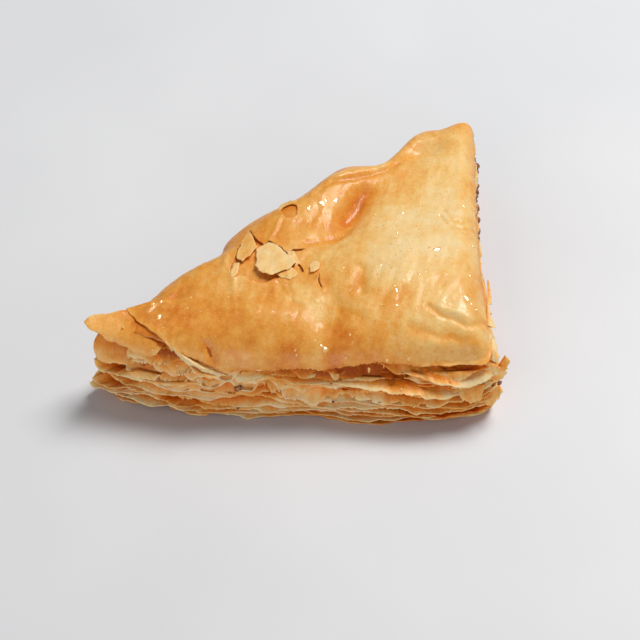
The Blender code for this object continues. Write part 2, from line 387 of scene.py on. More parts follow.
class Shader:
    """A small helper that builds one procedural material."""

    def __init__(self, name):
        self.material = bpy.data.materials.new(name)
        self.material.use_nodes = True
        self.nodes = self.material.node_tree.nodes
        self.links = self.material.node_tree.links
        self.surface = self.nodes["Principled BSDF"]
        self.place = self.nodes.new("ShaderNodeTexCoord").outputs["Object"]

    def set(self, **values):
        for label, value in values.items():
            self.surface.inputs[label.replace("_", " ")].default_value = value

    def link(self, output, label):
        self.links.new(output, self.surface.inputs[label])

    def attribute(self, name):
        node = self.nodes.new("ShaderNodeAttribute")
        node.attribute_name = name
        return node.outputs["Fac"]

    def noise(self, size, detail=3.0, stretch=(1, 1, 1), turn=0.0, distortion=0.0):
        """Noise with features of about that size in millimetres."""
        mapping = self.nodes.new("ShaderNodeMapping")
        mapping.inputs["Rotation"].default_value = (0, 0, math.radians(turn))
        mapping.inputs["Scale"].default_value = stretch
        self.links.new(self.place, mapping.inputs["Vector"])
        node = self.nodes.new("ShaderNodeTexNoise")
        node.inputs["Scale"].default_value = 1.0 / (size * MM)
        node.inputs["Detail"].default_value = detail
        node.inputs["Distortion"].default_value = distortion
        self.links.new(mapping.outputs["Vector"], node.inputs["Vector"])
        return node.outputs["Fac"]

    def spots(self, size):
        """Distance from scattered points that are about that far apart."""
        node = self.nodes.new("ShaderNodeTexVoronoi")
        node.inputs["Scale"].default_value = 1.0 / (size * MM)
        self.links.new(self.place, node.inputs["Vector"])
        return node.outputs["Distance"]

    def ramp(self, value, *stops):
        """Stops are (position, colour or grey)."""
        node = self.nodes.new("ShaderNodeValToRGB")
        elements = node.color_ramp.elements
        while len(elements) < len(stops):
            elements.new(0.5)
        for element, (position, shade) in zip(elements, stops):
            element.position = position
            element.color = shade if isinstance(shade, tuple) else (shade, shade, shade, 1.0)
        self.links.new(value, node.inputs["Fac"])
        return node.outputs["Color"]

    def math(self, kind, first, second):
        node = self.nodes.new("ShaderNodeMath")
        node.operation = kind
        for socket, value in zip(node.inputs, (first, second)):
            if isinstance(value, (int, float)):
                socket.default_value = value
            else:
                self.links.new(value, socket)
        return node.outputs[0]

    def vary(self, value, noise, amount):
        """A value with noise added, which leaves its mean as it was."""
        return self.math("ADD", value, self.math("MULTIPLY", self.math("SUBTRACT", noise, 0.5), amount))

    def mix(self, factor, first, second, kind="MIX"):
        node = self.nodes.new("ShaderNodeMix")
        node.data_type = "RGBA"
        node.blend_type = kind
        for socket, value in ((node.inputs[0], factor), (node.inputs[6], first), (node.inputs[7], second)):
            if isinstance(value, (int, float, tuple)):
                socket.default_value = value
            else:
                self.links.new(value, socket)
        return node.outputs[2]

    def bump(self, height, distance, strength=1.0):
        node = self.nodes.new("ShaderNodeBump")
        node.inputs["Distance"].default_value = distance * MM
        node.inputs["Strength"].default_value = strength
        self.links.new(height, node.inputs["Height"])
        self.links.new(node.outputs["Normal"], self.surface.inputs["Normal"])


def crust_material():
    """Golden baked pastry under a thin, uneven film of syrup."""
    s = Shader("baked_crust")
    tone, film = s.attribute("tone"), s.attribute("film")
    broad = s.noise(6.0, 3.0)
    streaks = s.noise(1.7, 3.0, stretch=(1.0, 0.25, 1.0), turn=-12.0)
    fine = s.noise(0.5, 2.0)
    blotches = s.noise(1.5, 3.0, distortion=0.6)
    level = s.vary(s.vary(s.vary(s.vary(tone, broad, 0.30), streaks, 0.26), fine, 0.26), blotches, 0.30)
    base = s.ramp(level, (0.0, colour(255, 214, 156)), (0.25, colour(253, 194, 116)),
                  (0.50, colour(243, 161, 66)), (0.75, colour(224, 125, 28)), (1.0, colour(186, 82, 6)))
    pores = s.math("MULTIPLY", s.ramp(s.spots(1.0), (0.06, 1.0), (0.16, 0.0)), 0.22)
    base = s.mix(pores, base, colour(206, 112, 34))
    sparse = s.ramp(s.noise(4.0, 1.0), (0.52, 0.0), (0.62, 1.0))
    freckles = s.math("MULTIPLY", s.ramp(s.spots(1.9), (0.05, 1.0), (0.11, 0.0)), sparse)
    base = s.mix(s.math("MULTIPLY", freckles, 0.5), base, colour(166, 84, 24))
    s.link(base, "Base Color")
    s.link(s.ramp(s.noise(2.4, 4.0), (0.3, 0.42), (0.7, 0.58)), "Roughness")
    s.link(s.vary(film, s.noise(3.0, 4.0), 0.30), "Coat Weight")
    s.set(Coat_Roughness=0.13, Coat_IOR=1.45, Subsurface_Weight=0.25, Subsurface_Scale=1.5 * MM,
          Subsurface_Radius=(1.0, 0.45, 0.12), Specular_IOR_Level=0.32)
    pimples = s.ramp(s.spots(1.3), (0.0, 1.0), (0.17, 0.0))
    grain = s.math("ADD", s.math("MULTIPLY", fine, 0.5), s.math("MULTIPLY", streaks, 0.7))
    s.bump(s.math("ADD", grain, s.math("MULTIPLY", pimples, 0.45)), 0.20, 0.8)
    return s.material


def sheet_material():
    """Thin baked sheets: pale and dry at their edges, amber and wet where syrup has soaked in; their tone also
    carries painted light at the edges and painted shade in the gaps and under the sheets.
    """
    s = Shader("layered_pastry")
    tone = s.attribute("tone")
    grain = s.noise(0.7, 4.0)
    broad = s.noise(4.0, 2.0)
    flutes = s.noise(0.55, 2.0, stretch=(1.0, 1.0, 0.2))
    level = s.vary(s.vary(s.vary(tone, broad, 0.40), grain, 0.30), flutes, 0.22)
    base = s.ramp(level, (0.0, colour(255, 218, 164)), (0.22, colour(255, 186, 110)),
                  (0.45, colour(248, 152, 58)), (0.70, colour(228, 116, 16)), (1.0, colour(190, 80, 2)))
    s.link(base, "Base Color")
    s.link(s.ramp(grain, (0.3, 0.40), (0.7, 0.62)), "Roughness")
    s.link(s.ramp(level, (0.45, 0.10), (0.65, 0.0)), "Coat Weight")
    s.set(Coat_Roughness=0.25, Subsurface_Weight=0.35, Subsurface_Scale=1.2 * MM,
          Subsurface_Radius=(1.0, 0.5, 0.15), Specular_IOR_Level=0.18)
    s.bump(s.math("ADD", flutes, s.math("MULTIPLY", grain, 0.6)), 0.12, 0.6)
    return s.material


def soaked_material():
    """The syrup-soaked inside that shows amber between the sheets."""
    s = Shader("soaked_inside")
    level = s.noise(1.1, 4.0, stretch=(1, 1, 3.0))
    base = s.ramp(level, (0.3, colour(176, 82, 4)), (0.5, colour(216, 120, 16)), (0.7, colour(236, 152, 40)))
    s.link(base, "Base Color")
    s.link(s.ramp(level, (0.3, 0.30), (0.7, 0.50)), "Roughness")
    s.set(Specular_IOR_Level=0.10, Subsurface_Weight=0.3, Subsurface_Scale=1.5 * MM,
          Subsurface_Radius=(1.0, 0.45, 0.1))
    s.bump(level, 0.5, 1.0)
    return s.material


def nut_material():
    """Chopped nuts with reddish skins, bound with syrup."""
    s = Shader("nut_filling")
    level = s.noise(0.7, 3.0)
    base = s.ramp(level, (0.3, colour(96, 46, 24)), (0.52, colour(142, 78, 40)), (0.72, colour(200, 140, 84)))
    s.link(base, "Base Color")
    s.link(s.ramp(level, (0.3, 0.3), (0.7, 0.6)), "Roughness")
    s.set(Coat_Weight=0.3, Coat_Roughness=0.2)
    s.bump(s.noise(0.35, 3.0), 0.12, 0.7)
    return s.material


def syrup_material():
    """Golden syrup in drops and small pools: clear enough to take the colour of the crust."""
    s = Shader("syrup")
    base = s.ramp(s.noise(2.0, 2.0), (0.3, colour(252, 200, 128)), (0.7, colour(246, 178, 88)))
    s.link(base, "Base Color")
    s.link(s.ramp(s.noise(0.8, 2.0), (0.3, 0.03), (0.7, 0.08)), "Roughness")
    s.set(Coat_Weight=1.0, Coat_Roughness=0.04, IOR=1.5)
    return s.material


CRUST = crust_material()
SHEETS = sheet_material()
SOAKED = soaked_material()
NUTS = nut_material()
SYRUP = syrup_material()

# ---------------------------------------------------------------------------------------------
# The stack of thin sheets
# ---------------------------------------------------------------------------------------------
SAMPLES = 960
PLACES = np.arange(SAMPLES) * COUNT / SAMPLES
RIM = outline_at(PLACES)
RIM_SLOPE = np.roll(RIM, -1, 0) - np.roll(RIM, 1, 0)
RIM_NORMAL = np.column_stack([RIM_SLOPE[:, 1], -RIM_SLOPE[:, 0]])
RIM_NORMAL /= np.linalg.norm(RIM_NORMAL, axis=1)[:, None]
SHEET_THICKNESS = 0.16
CRUST_DEPTH = 0.55             # room that the crust takes at the top of the stack
SHEET_ROWS = [0.0, 0.2, 0.5, 1.0, 1.8, 3.2, 6.0]
FILLER_ROWS = [0.0, 0.3, 0.9, 3.0]

# The sheets whose edges stand out at the cuts, from the lowest: the share of the cut's height
# at which the edge lies, at stations round the outline
FRONT_STATIONS = [0.03, 0.10, 0.18, 0.25, 0.33, 0.41, 0.53, 0.66, 0.79, 0.90, 0.975]
RIGHT_STATIONS = [0.25, 0.50, 0.75]
BACK_STATIONS = [0.10, 0.35, 0.60, 0.85]
CUT_LINES = [
    [0.015, 0.015, 0.015, 0.02, 0.02, 0.015, 0.015, 0.015, 0.015, 0.015, 0.015,
     0.015, 0.02, 0.015, 0.015, 0.02, 0.015, 0.02],
    [0.06, 0.10, 0.11, 0.12, 0.11, 0.09, 0.08, 0.08, 0.09, 0.08, 0.05,
     0.10, 0.09, 0.10, 0.11, 0.09, 0.08, 0.10],
    [0.13, 0.18, 0.20, 0.24, 0.19, 0.18, 0.15, 0.16, 0.17, 0.13, 0.10,
     0.20, 0.18, 0.19, 0.20, 0.17, 0.16, 0.20],
    [0.20, 0.29, 0.30, 0.37, 0.30, 0.30, 0.24, 0.25, 0.23, 0.18, 0.15,
     0.30, 0.28, 0.27, 0.30, 0.27, 0.23, 0.30],
    [0.31, 0.38, 0.43, 0.48, 0.46, 0.42, 0.33, 0.35, 0.34, 0.33, 0.26,
     0.43, 0.38, 0.37, 0.42, 0.37, 0.34, 0.42],
    [0.41, 0.46, 0.58, 0.60, 0.60, 0.60, 0.36, 0.47, 0.50, 0.46, 0.40,
     0.56, 0.52, 0.49, 0.54, 0.50, 0.48, 0.52],
    [0.56, 0.70, 0.74, 0.73, 0.78, 0.75, 0.40, 0.51, 0.54, 0.55, 0.52,
     0.70, 0.72, 0.70, 0.70, 0.64, 0.66, 0.64],
    [0.70, 0.84, 0.90, 0.87, 0.91, 0.90, 0.87, 0.83, 0.73, 0.67, 0.64,
     0.79, 0.82, 0.79, 0.80, 0.76, 0.80, 0.75],
    [0.85, 0.93, 0.97, 0.96, 0.97, 0.97, 0.97, 0.94, 0.90, 0.79, 0.76,
     0.89, 0.91, 0.90, 0.90, 0.88, 0.91, 0.86],
]
LOWER_LINES = 6                # of them, the ones under the filling

# Where a sheet's margin stays low, so that there is a gap under the next: number of the sheet,
# side, fraction, half length in outline points, how far it stays low
OPENINGS = [
    (7, "front", 0.64, 11.0, 1.0), (8, "front", 0.80, 9.0, 0.6), (8, "front", 0.58, 9.0, 0.9),
    (3, "front", 0.88, 7.5, 1.0), (2, "front", 0.24, 7.0, 0.6), (1, "front", 0.30, 6.0, 0.6),
    (1, "front", 0.60, 6.0, 0.8), (3, "front", 0.08, 5.0, 0.7), (4, "front", 0.36, 5.0, 0.7),
    (6, "front", 0.18, 5.0, 0.9), (7, "front", 0.10, 5.0, 0.9), (0, "front", 0.74, 7.0, 0.9),
    (4, "right", 0.75, 9.0, 0.9), (7, "right", 0.40, 8.0, 0.6), (3, "right", 0.30, 6.0, 0.6),
    (1, "right", 0.60, 6.0, 0.7), (2, "back", 0.50, 8.0, 0.8), (5, "back", 0.25, 7.0, 0.8),
    (7, "back", 0.70, 8.0, 0.7), (4, "back", 0.80, 6.0, 0.7), (3, "back", 0.12, 5.0, 0.7),
]
# Where a sheet lies flat, like a tray, under the rising top: number, side, fraction, half length, share
TRAYS = [(7, "front", 0.62, 13.0, 0.95), (8, "front", 0.86, 9.0, 0.4)]
# Where the sheets fill their gap as one tall smooth apron
APRONS = [(6, "front", 0.54, 8.0), (6, "front", 0.72, 6.0), (4, "front", 0.96, 3.0)]

# Where a sheet was cut or broken further in: its number, side, fraction, half length, distance
CUT_BACKS = [
    (5, "front", 0.00, 4.0, 0.5), (4, "front", 0.02, 4.0, 0.7), (3, "front", 0.01, 3.0, -0.25),
    (2, "front", 0.01, 3.0, -0.40), (1, "front", 0.02, 5.0, 0.4), (0, "front", 0.02, 5.0, 0.3),
    (8, "front", 0.62, 11.0, 2.4), (8, "front", 0.90, 5.0, 0.5), (7, "front", 0.90, 5.0, 0.3),
    (5, "front", 0.53, 6.0, 0.5), (4, "front", 0.45, 4.0, 0.5), (3, "front", 0.20, 4.0, 0.4),
    (8, "right", 0.35, 10.0, 0.6), (7, "right", 0.35, 10.0, 0.6), (6, "right", 0.30, 9.0, 0.5),
]
# Sheets that are darker or paler along a stretch: number, side, fraction, half length, tone
STRETCH_TONES = [
    (0, "front", 0.10, 9.0, 0.25), (1, "front", 0.05, 6.0, 0.20), (0, "front", 0.70, 9.0, 0.30),
    (8, "front", 0.60, 10.0, -0.35), (8, "front", 0.88, 6.0, -0.35), (7, "front", 0.66, 7.0, -0.12),
    (7, "front", 0.90, 5.0, -0.30), (6, "front", 0.90, 5.0, -0.10), (3, "front", 0.88, 6.0, 0.55),
    (6, "front", 0.56, 8.0, -0.06), (2, "front", 0.97, 4.0, 0.10), (5, "front", 0.12, 5.0, -0.15),
    (5, "front", 0.64, 5.0, -0.25), (4, "front", 0.64, 5.0, -0.25), (3, "front", 0.60, 5.0, -0.15),
    (8, "front", 0.97, 4.0, -0.20), (7, "front", 0.97, 4.0, -0.20), (1, "front", 0.06, 5.0, -0.30),
    (2, "front", 0.08, 5.0, -0.25), (1, "front", 0.97, 4.0, -0.25), (0, "front", 0.97, 4.0, -0.25),
]
# How far the lowest sheets stand in from the outline: side, fraction, distance
LOWER_INSETS = [
    ("front", 0.00, 0.3), ("front", 0.10, 0.3), ("front", 0.18, 0.8), ("front", 0.25, 0.0),
    ("front", 0.33, 0.3), ("front", 0.41, 0.1), ("front", 0.53, 0.8), ("front", 0.66, -0.3),
    ("front", 0.79, 1.0), ("front", 0.90, 1.6), ("front", 0.975, 1.3), ("right", 0.12, 1.6),
    ("right", 0.50, 0.8), ("back", 0.10, 0.8), ("back", 0.50, 0.9), ("back", 0.90, 0.5),
]
LOWER_SHARE = 0.32             # share of the height over which they come out to it
CURL_FROM = 5.2                # the sheets above this stop short of the tip, behind its curl


def lens(places, centre, half_length):
    """1 at a place on the outline and falling to 0 at that many points from it."""
    apart = np.abs((places - centre + COUNT / 2) % COUNT - COUNT / 2)
    return np.clip(1.0 - (apart / half_length) ** 2, 0.0, None) ** 1.5


def line_shares():
    """The share of the height of every line's edge, at each sample of the outline."""
    stations = [around("front", f) for f in FRONT_STATIONS]
    stations += [around("right", f) for f in RIGHT_STATIONS]
    stations += [around("back", f) for f in BACK_STATIONS]
    shares = closed_curve(np.array(stations), np.array(CUT_LINES).T, PLACES).T
    for number in range(1, len(shares)):
        shares[number] += 0.014 * noise(RIM, 7.0, 150 + number) + 0.008 * noise(RIM, 2.8, 170 + number)
        shares[number] = np.maximum(shares[number], shares[number - 1] + 0.02)
    return np.vstack([np.minimum(shares, 0.985), np.ones(SAMPLES)])


def line_fullness():
    """How much of the gap above it each sheet fills by rising from its edge."""
    rows = []
    for number in range(len(CUT_LINES)):
        full = 0.58 + 0.34 * noise(RIM, 9.0, 180 + number)
        for sheet_number, side, fraction, half_length, low in OPENINGS:
            if sheet_number == number:
                full *= 1.0 - low * lens(PLACES, around(side, fraction), half_length)
        for sheet_number, side, fraction, half_length in APRONS:
            if sheet_number == number:
                full += (0.84 - full) * lens(PLACES, around(side, fraction), half_length) ** 0.3
        rows.append(np.clip(full, 0.04, 0.95))
    return np.array(rows)


SHARES = line_shares()
FULLNESS = line_fullness()
LOWER_INSET = closed_curve(np.array([around(side, fraction) for side, fraction, _ in LOWER_INSETS]),
                           np.array([[distance] for *_, distance in LOWER_INSETS]), PLACES)[:, 0]
FROM_TIP = (PLACES + COUNT / 2) % COUNT - COUNT / 2
TIP_CLEARANCE = 2.2 * (1.0 - smooth_step(3.2, 5.6, FROM_TIP)) * (1.0 - smooth_step(1.0, 3.0, -FROM_TIP))


def line_level(number, inset):
    """Share of the height of a line's sheet at a distance in from the outline."""
    if number >= len(CUT_LINES):
        return np.ones(SAMPLES)
    rise = 1.0 - np.exp(-np.clip(inset + 0.4, 0.0, None) ** 1.2 / 1.5)
    return SHARES[number] + FULLNESS[number] * (SHARES[number + 1] - SHARES[number]) * rise


def level(place_in_stack, inset):
    """As line_level, for a place such as 2.4 between the lines 2 and 3."""
    number = int(place_in_stack)
    part = place_in_stack - number
    low = line_level(number, inset)
    return low if part == 0 else low + part * (line_level(number + 1, inset) - low)


def spread(table, place_in_stack):
    """The sum of a table's values along the outline, for one sheet."""
    total = np.zeros(SAMPLES)
    for number, side, fraction, half_length, value in table:
        if number == int(place_in_stack):
            total += value * lens(PLACES, around(side, fraction), half_length)
    return total


def rag(seed, size):
    """How far a sheet's torn edge wanders out and in."""
    teeth = np.abs(noise(RIM, 0.9, seed)) + 0.8 * np.abs(noise(RIM, 0.45, seed + 1))
    rough_part = smooth_step(-0.3, 0.5, noise(RIM, 8.0, seed + 14))
    tears = np.clip(noise(RIM, 3.2, seed + 2) - 0.40, 0.0, 1.0)
    return size * (0.30 * noise(RIM, 3.6, seed + 3) - 0.30 * teeth * rough_part - 1.2 * tears * rough_part)


def sheet(place_in_stack, cut_back, rows, seed, target):
    """One thin sheet: a closed band that runs in from the cut, wavy and torn at its edge."""
    line = place_in_stack == int(place_in_stack)
    share = level(place_in_stack, np.zeros(SAMPLES))
    reach = 0.40 * noise(RIM, 20.0, seed + 4) + 0.35 * noise(RIM, 7.0, seed + 5)
    if not line:
        reach = reach - cut_back * (0.7 + 0.5 * noise(RIM, 6.0, seed + 6))
    inset = 0.15 - reach + LOWER_INSET * (1.0 - share / LOWER_SHARE).clip(0.0, 1.0)
    setback = along_outline(3, PLACES)
    at_back = smooth_step(around("back", 0.0) - 2.0, around("back", 0.0) + 2.0, PLACES)
    inset = inset + setback * (0.8 * smooth_step(0.78, 1.0, share) * (1 - at_back)
                               + smooth_step(0.50, 0.85, share) * at_back)
    inset += spread(CUT_BACKS, place_in_stack)
    if not line:
        inset += 2.5 * spread(OPENINGS, place_in_stack)
    edge = along_outline(1, PLACES)
    flat = spread(TRAYS, place_in_stack)
    if place_in_stack > CURL_FROM:
        inset += TIP_CLEARANCE
    torn = rag(seed, (1.0 if line else 0.8) + (0.6 if place_in_stack >= 6 else 0.0))
    gap = level(place_in_stack + (0.5 if line else 0.2), inset) - share
    gap = np.clip(gap * edge, 0.05, 1.4)
    wave = gap * (0.40 * noise(RIM, 6.0, seed + 7) + 0.26 * noise(RIM, 2.6, seed + 8))
    curl = gap * (0.34 * noise(RIM, 3.5, seed + 9) + 0.20 * noise(RIM, 1.0, seed + 12))
    tone = 0.34 + 0.24 * noise(RIM, 11.0, seed + 10) + 0.16 * noise(RIM, 2.2, seed + 11)
    # The shorter sheets, set back in the gaps, are darker: syrup-soaked amber with painted shade in the recess.
    tone += (0.0 if line else 0.25) + spread(STRETCH_TONES, place_in_stack)
    rings, tones = [], []
    under_rows = (rows[0], rows[2], rows[-1])
    for under, depths in ((False, rows[::-1]), (True, under_rows)):
        for depth in depths:
            fade = math.exp(-depth / 0.7)
            points = section(PLACES, inset + depth) + RIM_NORMAL * (torn * fade)[:, None]
            from_cut = inset + depth - torn * fade
            top = stack_height(points, PLACES, from_cut) - CRUST_DEPTH
            top = edge + (top - edge) * (1.0 - flat)
            height = level(place_in_stack, from_cut) * top
            height += wave * math.exp(-depth / 1.8) + curl * math.exp(-depth / 0.6)
            height -= SHEET_THICKNESS if under else 0.0
            rings.append(np.column_stack([points, height.clip(0.02 + (0.0 if under else 0.15), None)]))
            # Paler at the torn edge, where the sheet is dry, with a painted highlight on it; darker further in from
            # the cut, where syrup has soaked in, with painted shade in the gap; darker on the underside, painted
            # shade under the sheet.
            soak_and_shade = smooth_step(0.4, 2.4, from_cut)
            tones.append(tone - 0.30 * math.exp(-depth / 0.25) + 0.55 * soak_and_shade + (0.25 if under else 0.0))
    target.add(np.vstack(rings), ring_faces(len(rings), SAMPLES), tone=np.concatenate(tones))


def soaked_core():
    """The inside of the piece, which closes the view between the sheets."""
    count = 240
    places = np.arange(count) * COUNT / count
    rings = []
    for share, inset in ((0.01, 4.0), (0.10, 2.9), (0.35, 3.2), (0.60, 3.0), (0.76, 3.4), (0.84, 5.5)):
        depth = inset + along_outline(3, places) * share ** 2
        points = section(places, depth)
        points = points + 0.4 * np.column_stack([noise(points, 3.0, 5), noise(points, 3.0, 6)])
        top = stack_height(points, places, depth, 1.6)
        rings.append(np.column_stack([points, share * top]))
    faces = ring_faces(len(rings), count).tolist()
    faces += [list(range(count))[::-1], [(len(rings) - 1) * count + i for i in range(count)]]
    return make_piece("soaked_core", np.vstack(rings), faces, SOAKED)


def stack_of_sheets():
    """Every sheet at the cuts: the lines, and shorter ones between them."""
    groups = {"lower_sheets": Gathered(), "middle_sheets": Gathered(), "upper_sheets": Gathered()}
    names = [name for name in groups for _ in range(3)]
    for number in range(len(CUT_LINES)):
        target = groups[names[number]]
        sheet(number, 0.0, SHEET_ROWS, 2000 + 40 * number, target)
        sheet(number + 0.5, 1.4, FILLER_ROWS, 2500 + 40 * number, target)
        if number >= 6:
            sheet(number + 0.25, 1.0, FILLER_ROWS, 2900 + 40 * number, target)
            sheet(number + 0.75, 2.0, FILLER_ROWS, 3300 + 40 * number, target)
    for name, gathered in groups.items():
        piece = gathered.piece(name, SHEETS, "layered_pastry")
        if name == "lower_sheets":
            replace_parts(piece, "lower_pastry")


# Over the curl of the sheets round the tip: place from the tip, top and bottom height
CURL_HEIGHTS = [(-3.0, 17.0, 12.5), (-1.5, 20.0, 11.0), (0.6, 20.4, 11.0), (1.8, 18.6, 11.6),
                (3.5, 16.6, 13.0), (5.0, 15.2, 13.6), (6.6, 14.3, 14.0)]


def curl_layer(depth, rise, tone, seed, target):
    """One of the folded sheets round the tip, at a distance behind the outermost."""
    columns, rows = 150, 16
    stations = np.array(CURL_HEIGHTS)
    place = np.linspace(stations[0, 0], stations[-1, 0], columns)
    top = np.interp(place, stations[:, 0], stations[:, 1])
    bottom = np.interp(place, stations[:, 0], stations[:, 2])
    for _ in range(10):
        top[1:-1] = 0.25 * top[:-2] + 0.5 * top[1:-1] + 0.25 * top[2:]
    top += rise
    rim = outline_at(place)
    bottom += 0.35 * noise(rim, 3.0, seed) - 0.55 * np.abs(noise(rim, 1.1, seed + 1))
    points, tones = [], []
    for share in np.linspace(0.0, 1.0, rows):
        inset = depth + 1.5 * (1.0 - share) ** 3 + 0.15 * math.sin(math.pi * share) + 0.30 * share ** 3
        plan = section(place, np.full(columns, inset))
        plan = plan + 0.20 * noise(rim + 3.0 * share, 3.0, seed + 2)[:, None]
        points.append(np.column_stack([plan, top + (bottom - top) * share]))
        # Darker towards the top: painted shade under the flap.
        tones.append(tone + 0.16 * noise(rim + 4 * share, 3.0, seed + 3) - 0.26 * share ** 8
                     + 0.30 * (1.0 - share) ** 3)
    i, j = np.meshgrid(np.arange(rows - 1), np.arange(columns - 1), indexing="ij")
    a = (i * columns + j).ravel()
    faces = np.column_stack([a, a + columns, a + columns + 1, a + 1])
    target.add(np.vstack(points), faces, tone=np.concatenate(tones))


def tip_curl():
    """The folded sheets that curl steeply down round the tip, under its flap."""
    gathered = Gathered()
    # Each layer further behind is darker: painted shade between the folds.
    curl_layer(0.50, 0.0, 0.34, 310, gathered)
    curl_layer(1.05, 0.9, 0.62, 330, gathered)
    curl_layer(1.70, 1.3, 0.80, 350, gathered)
    return thicken(gathered.piece("tip_curl", SHEETS, "layered_pastry"), 0.16)


# ---------------------------------------------------------------------------------------------
# The crust
# ---------------------------------------------------------------------------------------------
# Where the main top sheet ends near the tip, from the back cut to the front cut
CREASE = [(-35.5, -23.5), (-34.6, -26.2), (-31.7, -29.3), (-28.5, -31.5), (-25.2, -33.4),
          (-21.8, -34.8), (-17.6, -35.6), (-15.0, -36.0), (-11.8, -36.2)]
# Where the second sheet ends, under the flap
SECOND_EDGE = [(-35.6, -25.0), (-36.0, -29.6), (-33.0, -31.6), (-28.0, -32.8), (-24.0, -33.6),
               (-20.0, -34.4), (-15.0, -35.2)]
# The flap of the next sheet down, which reaches over the tip
FLAP_BACK = [(-43.1, -30.3), (-42.2, -29.4), (-41.0, -28.5), (-39.8, -28.2), (-38.4, -28.1),
             (-37.0, -27.6), (-35.7, -26.9), (-33.5, -25.0)]
FLAP_FRONT = [(-25.0, -32.0), (-25.6, -33.6), (-27.0, -35.0), (-28.4, -35.2), (-30.4, -35.0),
              (-32.6, -34.5), (-34.3, -34.0), (-35.8, -33.6), (-37.8, -33.2), (-39.2, -32.4),
              (-40.3, -32.1), (-41.8, -31.7)]
# Where the flaky patch of the crust has broken away
PATCH = [(-11.5, -3.4), (-12.6, -6.4), (-13.3, -9.3), (-13.4, -12.4), (-14.0, -15.4), (-13.0, -17.5),
         (-11.4, -16.6), (-9.1, -18.0), (-6.4, -18.6), (-3.8, -17.1), (-2.1, -16.0), (-0.6, -14.7),
         (-0.1, -12.9), (-1.5, -10.9), (-4.0, -8.6), (-6.4, -7.2), (-7.7, -8.1), (-9.5, -6.6)]
SMALL_HOLES = [
    [(-5.6, 1.7), (-4.8, 3.5), (-3.4, 4.0), (-2.1, 3.5), (-1.6, 2.0), (-1.7, 0.3), (-2.7, -0.4), (-3.9, -0.5)],
    [(-1.5, -9.7), (-1.2, -9.2), (0.1, -8.8), (1.7, -8.4), (0.6, -9.2), (-0.6, -10.0)],
    [(0.2, -12.6), (0.8, -12.8), (1.6, -13.8), (2.0, -14.8), (1.4, -15.0), (0.8, -14.1)],
    [(5.2, -15.2), (5.6, -16.9), (6.4, -18.6), (6.0, -18.4), (5.3, -17.0)],
]
# How far the crust's edge reaches past its setback: side, fraction, distance
CRUST_REACH = [
    ("front", 0.30, 0.0), ("front", 0.42, -0.4), ("front", 0.59, -0.6), ("front", 0.70, -0.7),
    ("front", 0.79, -0.1), ("front", 0.86, 0.4), ("front", 0.92, 0.7), ("front", 0.98, 1.0),
    ("right", 0.08, 0.6), ("right", 0.30, 0.1), ("right", 0.90, 0.1), ("back", 0.30, 0.1),
    ("back", 0.90, 0.1), ("front", 0.05, 0.0),
]
# Creases (below 0) and ridges of the crust: height, width, and points along each
FOLDS = [
    (-0.55, 0.6, [(29.2, -22.2), (31.8, -23.7), (34.4, -24.5), (37.6, -25.7), (39.7, -24.2), (40.8, -22.6)]),
    (0.32, 0.8, [(31.7, -22.3), (34.9, -23.3), (38.1, -23.9)]),
    (-0.60, 1.2, [(26.3, -27.0), (29.0, -27.4), (32.1, -27.7), (38.3, -27.7)]),
    (0.28, 0.9, [(30.1, -28.9), (33.2, -29.0), (37.4, -29.0)]),
    (-0.32, 0.5, [(29.4, 3.1), (31.3, 0.7), (34.4, -0.2), (36.8, 1.7)]),
    (-0.24, 0.5, [(30.0, 5.2), (32.0, 2.2), (34.6, 2.0), (36.7, 5.4)]),
    (-0.50, 1.2, [(14.5, -14.1), (14.4, -17.1), (15.1, -19.5)]),
    (-0.28, 0.8, [(14.9, -13.9), (16.5, -13.1), (17.7, -12.6)]),
    (-0.80, 1.9, [(11.8, 9.6), (11.0, 7.2), (10.1, 4.9), (8.9, 2.1)]),
    (-0.50, 1.1, [(9.7, -2.1), (7.8, -4.2), (4.7, -5.6), (1.9, -6.9)]),
    (-0.45, 0.7, [(2.7, 7.6), (5.2, 10.5), (8.7, 12.1), (12.4, 14.1), (15.9, 16.3), (17.9, 18.7)]),
    (0.45, 1.3, [(5.4, 12.4), (8.1, 13.9), (11.6, 15.4), (15.8, 17.6)]),
    (0.22, 0.5, [(-15.2, -13.2), (-13.5, -15.9), (-12.3, -19.2), (-11.9, -23.3)]),
    (-0.55, 1.5, [(-24.5, -22.2), (-22.8, -20.6)]),
    (-0.60, 0.8, [(-16.4, -33.0), (-15.7, -34.3), (-14.7, -35.4)]),
    (-0.38, 1.4, [(6.9, -17.0), (7.8, -19.4), (9.4, -22.1), (12.0, -24.5), (15.3, -26.1)]),
    (-0.25, 0.5, [(-2.9, -17.8), (-1.6, -20.2), (0.6, -22.9), (3.1, -23.9)]),
    (0.35, 0.5, [(-30.2, -26.6), (-29.3, -24.9), (-27.7, -23.8), (-25.9, -23.9)]),
    (0.22, 0.9, [(-28.7, -29.4), (-27.5, -28.2), (-26.0, -27.2)]),
    (0.22, 0.35, [(-4.9, -0.2), (-5.6, -2.8), (-6.1, -5.2), (-6.7, -7.3)]),
    (-0.15, 0.6, [(-4.2, -0.9), (-4.8, -3.2), (-5.3, -5.6)]),
    (0.16, 0.4, [(-11.2, -3.0), (-10.3, -1.8), (-9.1, -0.7), (-7.5, 0.6)]),
    (0.22, 0.6, [(-14.6, -9.0), (-15.2, -12.0), (-15.4, -15.6)]),
    (-0.22, 0.5, [(-0.9, -18.4), (0.2, -20.6), (0.6, -22.6)]),
]
